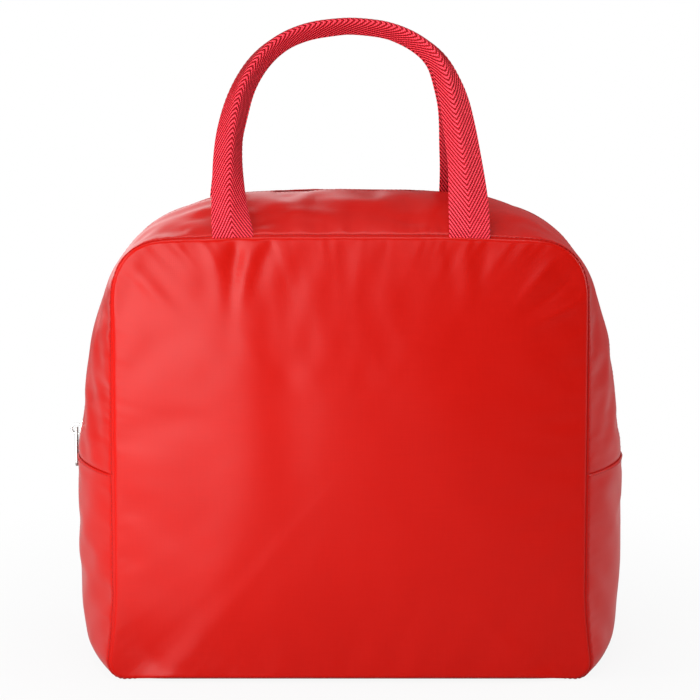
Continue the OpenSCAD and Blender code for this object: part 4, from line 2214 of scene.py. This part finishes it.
@dataclass
class Studio:
    """Camera, lights, floor and world."""

    focal_px: float = 2049.0
    frame_px: float = 700.0
    camera_y: float = -1065.0
    camera_z: float = 308.0
    pitch: float = 6.08
    shift_y: float = -0.1
    sensor: float = 36.0
    glossy_share: float = 0.15
    shadow_share: float = 0.9
    shadow_reach: tuple[float, float] = (0.12, 0.42)
    floor_size: float = 6.0
    floor_drop: float = 0.0002
    room_light: float = 0.1
    farthest: float = 30.0

    def camera(self) -> None:
        """Adds the camera."""
        data = bpy.data.cameras.new("camera")
        data.sensor_width = self.sensor
        data.lens = self.focal_px / self.frame_px * self.sensor
        data.shift_y = self.shift_y
        data.clip_end = self.farthest
        made = bpy.data.objects.new("camera", data)
        made.location = (0, self.camera_y * MM, self.camera_z * MM)
        made.rotation_euler = Euler((math.radians(90 - self.pitch), 0, 0))
        bpy.context.scene.collection.objects.link(made)
        bpy.context.scene.camera = made

    def softbox(
        self, name: str, at: Colour, aim: Colour, size: tuple[float, float], power: float
    ) -> None:
        """Adds one rectangular lamp.

        Args:
            name: The lamp's name.
            at: Where it is, in metres.
            aim: Where it points, in metres.
            size: Its width and height, in metres.
            power: Its power in watts.
        """
        data = bpy.data.lights.new(name, "AREA")
        data.shape = "RECTANGLE"
        data.size, data.size_y = size
        data.energy = power
        made = bpy.data.objects.new(name, data)
        made.location = at
        made.rotation_euler = (Vector(aim) - Vector(at)).to_track_quat("-Z", "Y").to_euler()
        made.visible_camera = False
        bpy.context.scene.collection.objects.link(made)

    def seen_white(self, graph: Graph, lit: Wire, share: Wire | float, kind: str) -> Wire:
        """Mixes plain white into what the camera and reflections see.

        Args:
            graph: The graph to build in.
            lit: The shader as other rays meet it.
            share: How much of it turns white.
            kind: The type of node that shines white.

        Returns:
            The mixed shader.
        """
        path = graph.node("ShaderNodeLightPath", output="Is Camera Ray")
        glossy = Wire(graph, path.socket.node.outputs["Is Glossy Ray"])
        through = Wire(graph, path.socket.node.outputs["Is Transmission Ray"])
        seen = (path + glossy * self.glossy_share + through) * share
        white = graph.node(kind, {}, {"Color": (1, 1, 1), "Strength": 1.0})
        return graph.node("ShaderNodeMixShader", {}, {0: seen, 1: lit, 2: white})

    def floor(self) -> None:
        """Adds the floor."""
        corners = [(-1, -1, 0), (1, -1, 0), (1, 1, 0), (-1, 1, 0)]
        points = np.array(corners) * self.floor_size / MM
        material, graph = new_material("floor_paper", (0.9, 0.9, 0.9))
        lit = graph.node("ShaderNodeBsdfDiffuse", {}, {"Color": (0.5, 0.5, 0.5)})
        length = {"operation": "LENGTH"}
        away = graph.node("ShaderNodeVectorMath", length, [graph.place()], "Value")
        step = {"interpolation_type": "SMOOTHSTEP"}
        levels = [away, *self.shadow_reach, self.shadow_share, 1.0]
        share = graph.node("ShaderNodeMapRange", step, levels)
        mixed = self.seen_white(graph, lit, share, "ShaderNodeEmission")
        graph.node("ShaderNodeOutputMaterial", {}, {"Surface": mixed})
        made = make_object("floor", points, [(0, 1, 2, 3)], material)
        made.location.z = -self.floor_drop

    def world(self) -> None:
        """Lights the room evenly and shows it white."""
        world = bpy.data.worlds.new("studio")
        bpy.context.scene.world = world
        world.use_nodes = True
        graph = Graph(world.node_tree)
        light = {"Color": (1, 1, 1), "Strength": self.room_light}
        lit = graph.node("ShaderNodeBackground", {}, light)
        mixed = self.seen_white(graph, lit, 1.0, "ShaderNodeBackground")
        graph.node("ShaderNodeOutputWorld", {}, {"Surface": mixed})

    def build(self) -> None:
        """Sets up the whole studio."""
        bpy.context.scene.view_settings.view_transform = "Standard"
        self.camera()
        self.world()
        self.floor()
        for lamp in LAMPS:
            self.softbox(*lamp)


def main() -> None:
    """Builds the bag, piece by piece."""
    logging.basicConfig(level=logging.INFO, format="%(message)s")
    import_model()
    Studio().build()

    form = BagForm()
    walls = Walls(form, OuterCloth(form, SewnSheet()))
    ribbon, webbing = RibbonFinish().build(), WebbingFinish().build()
    cloth, foam, foil = ClothFinish().build(), FoamFinish().build(), FoilFinish().build()
    walls.build(Layer("cloth", top=0.0, thickness=0.5, finish=cloth, slot="red_cloth"), inset=0.0)
    walls.build(Layer("foam", top=1.5, thickness=2.5, finish=foam, slot="foam"), inset=2.0)
    walls.build(Layer("lining", top=4.2, thickness=0.4, finish=foil, slot="foil_lining"), inset=3.0)
    SeamTrim(form, walls, ribbon, ThreadFinish().build()).build()
    ZipSlider(form, NickelFinish().build()).build()
    Handle(Side.FRONT, webbing).build()
    Handle(Side.REAR, webbing, foot_shift=11.0).build()


if __name__ == "__main__":
    main()
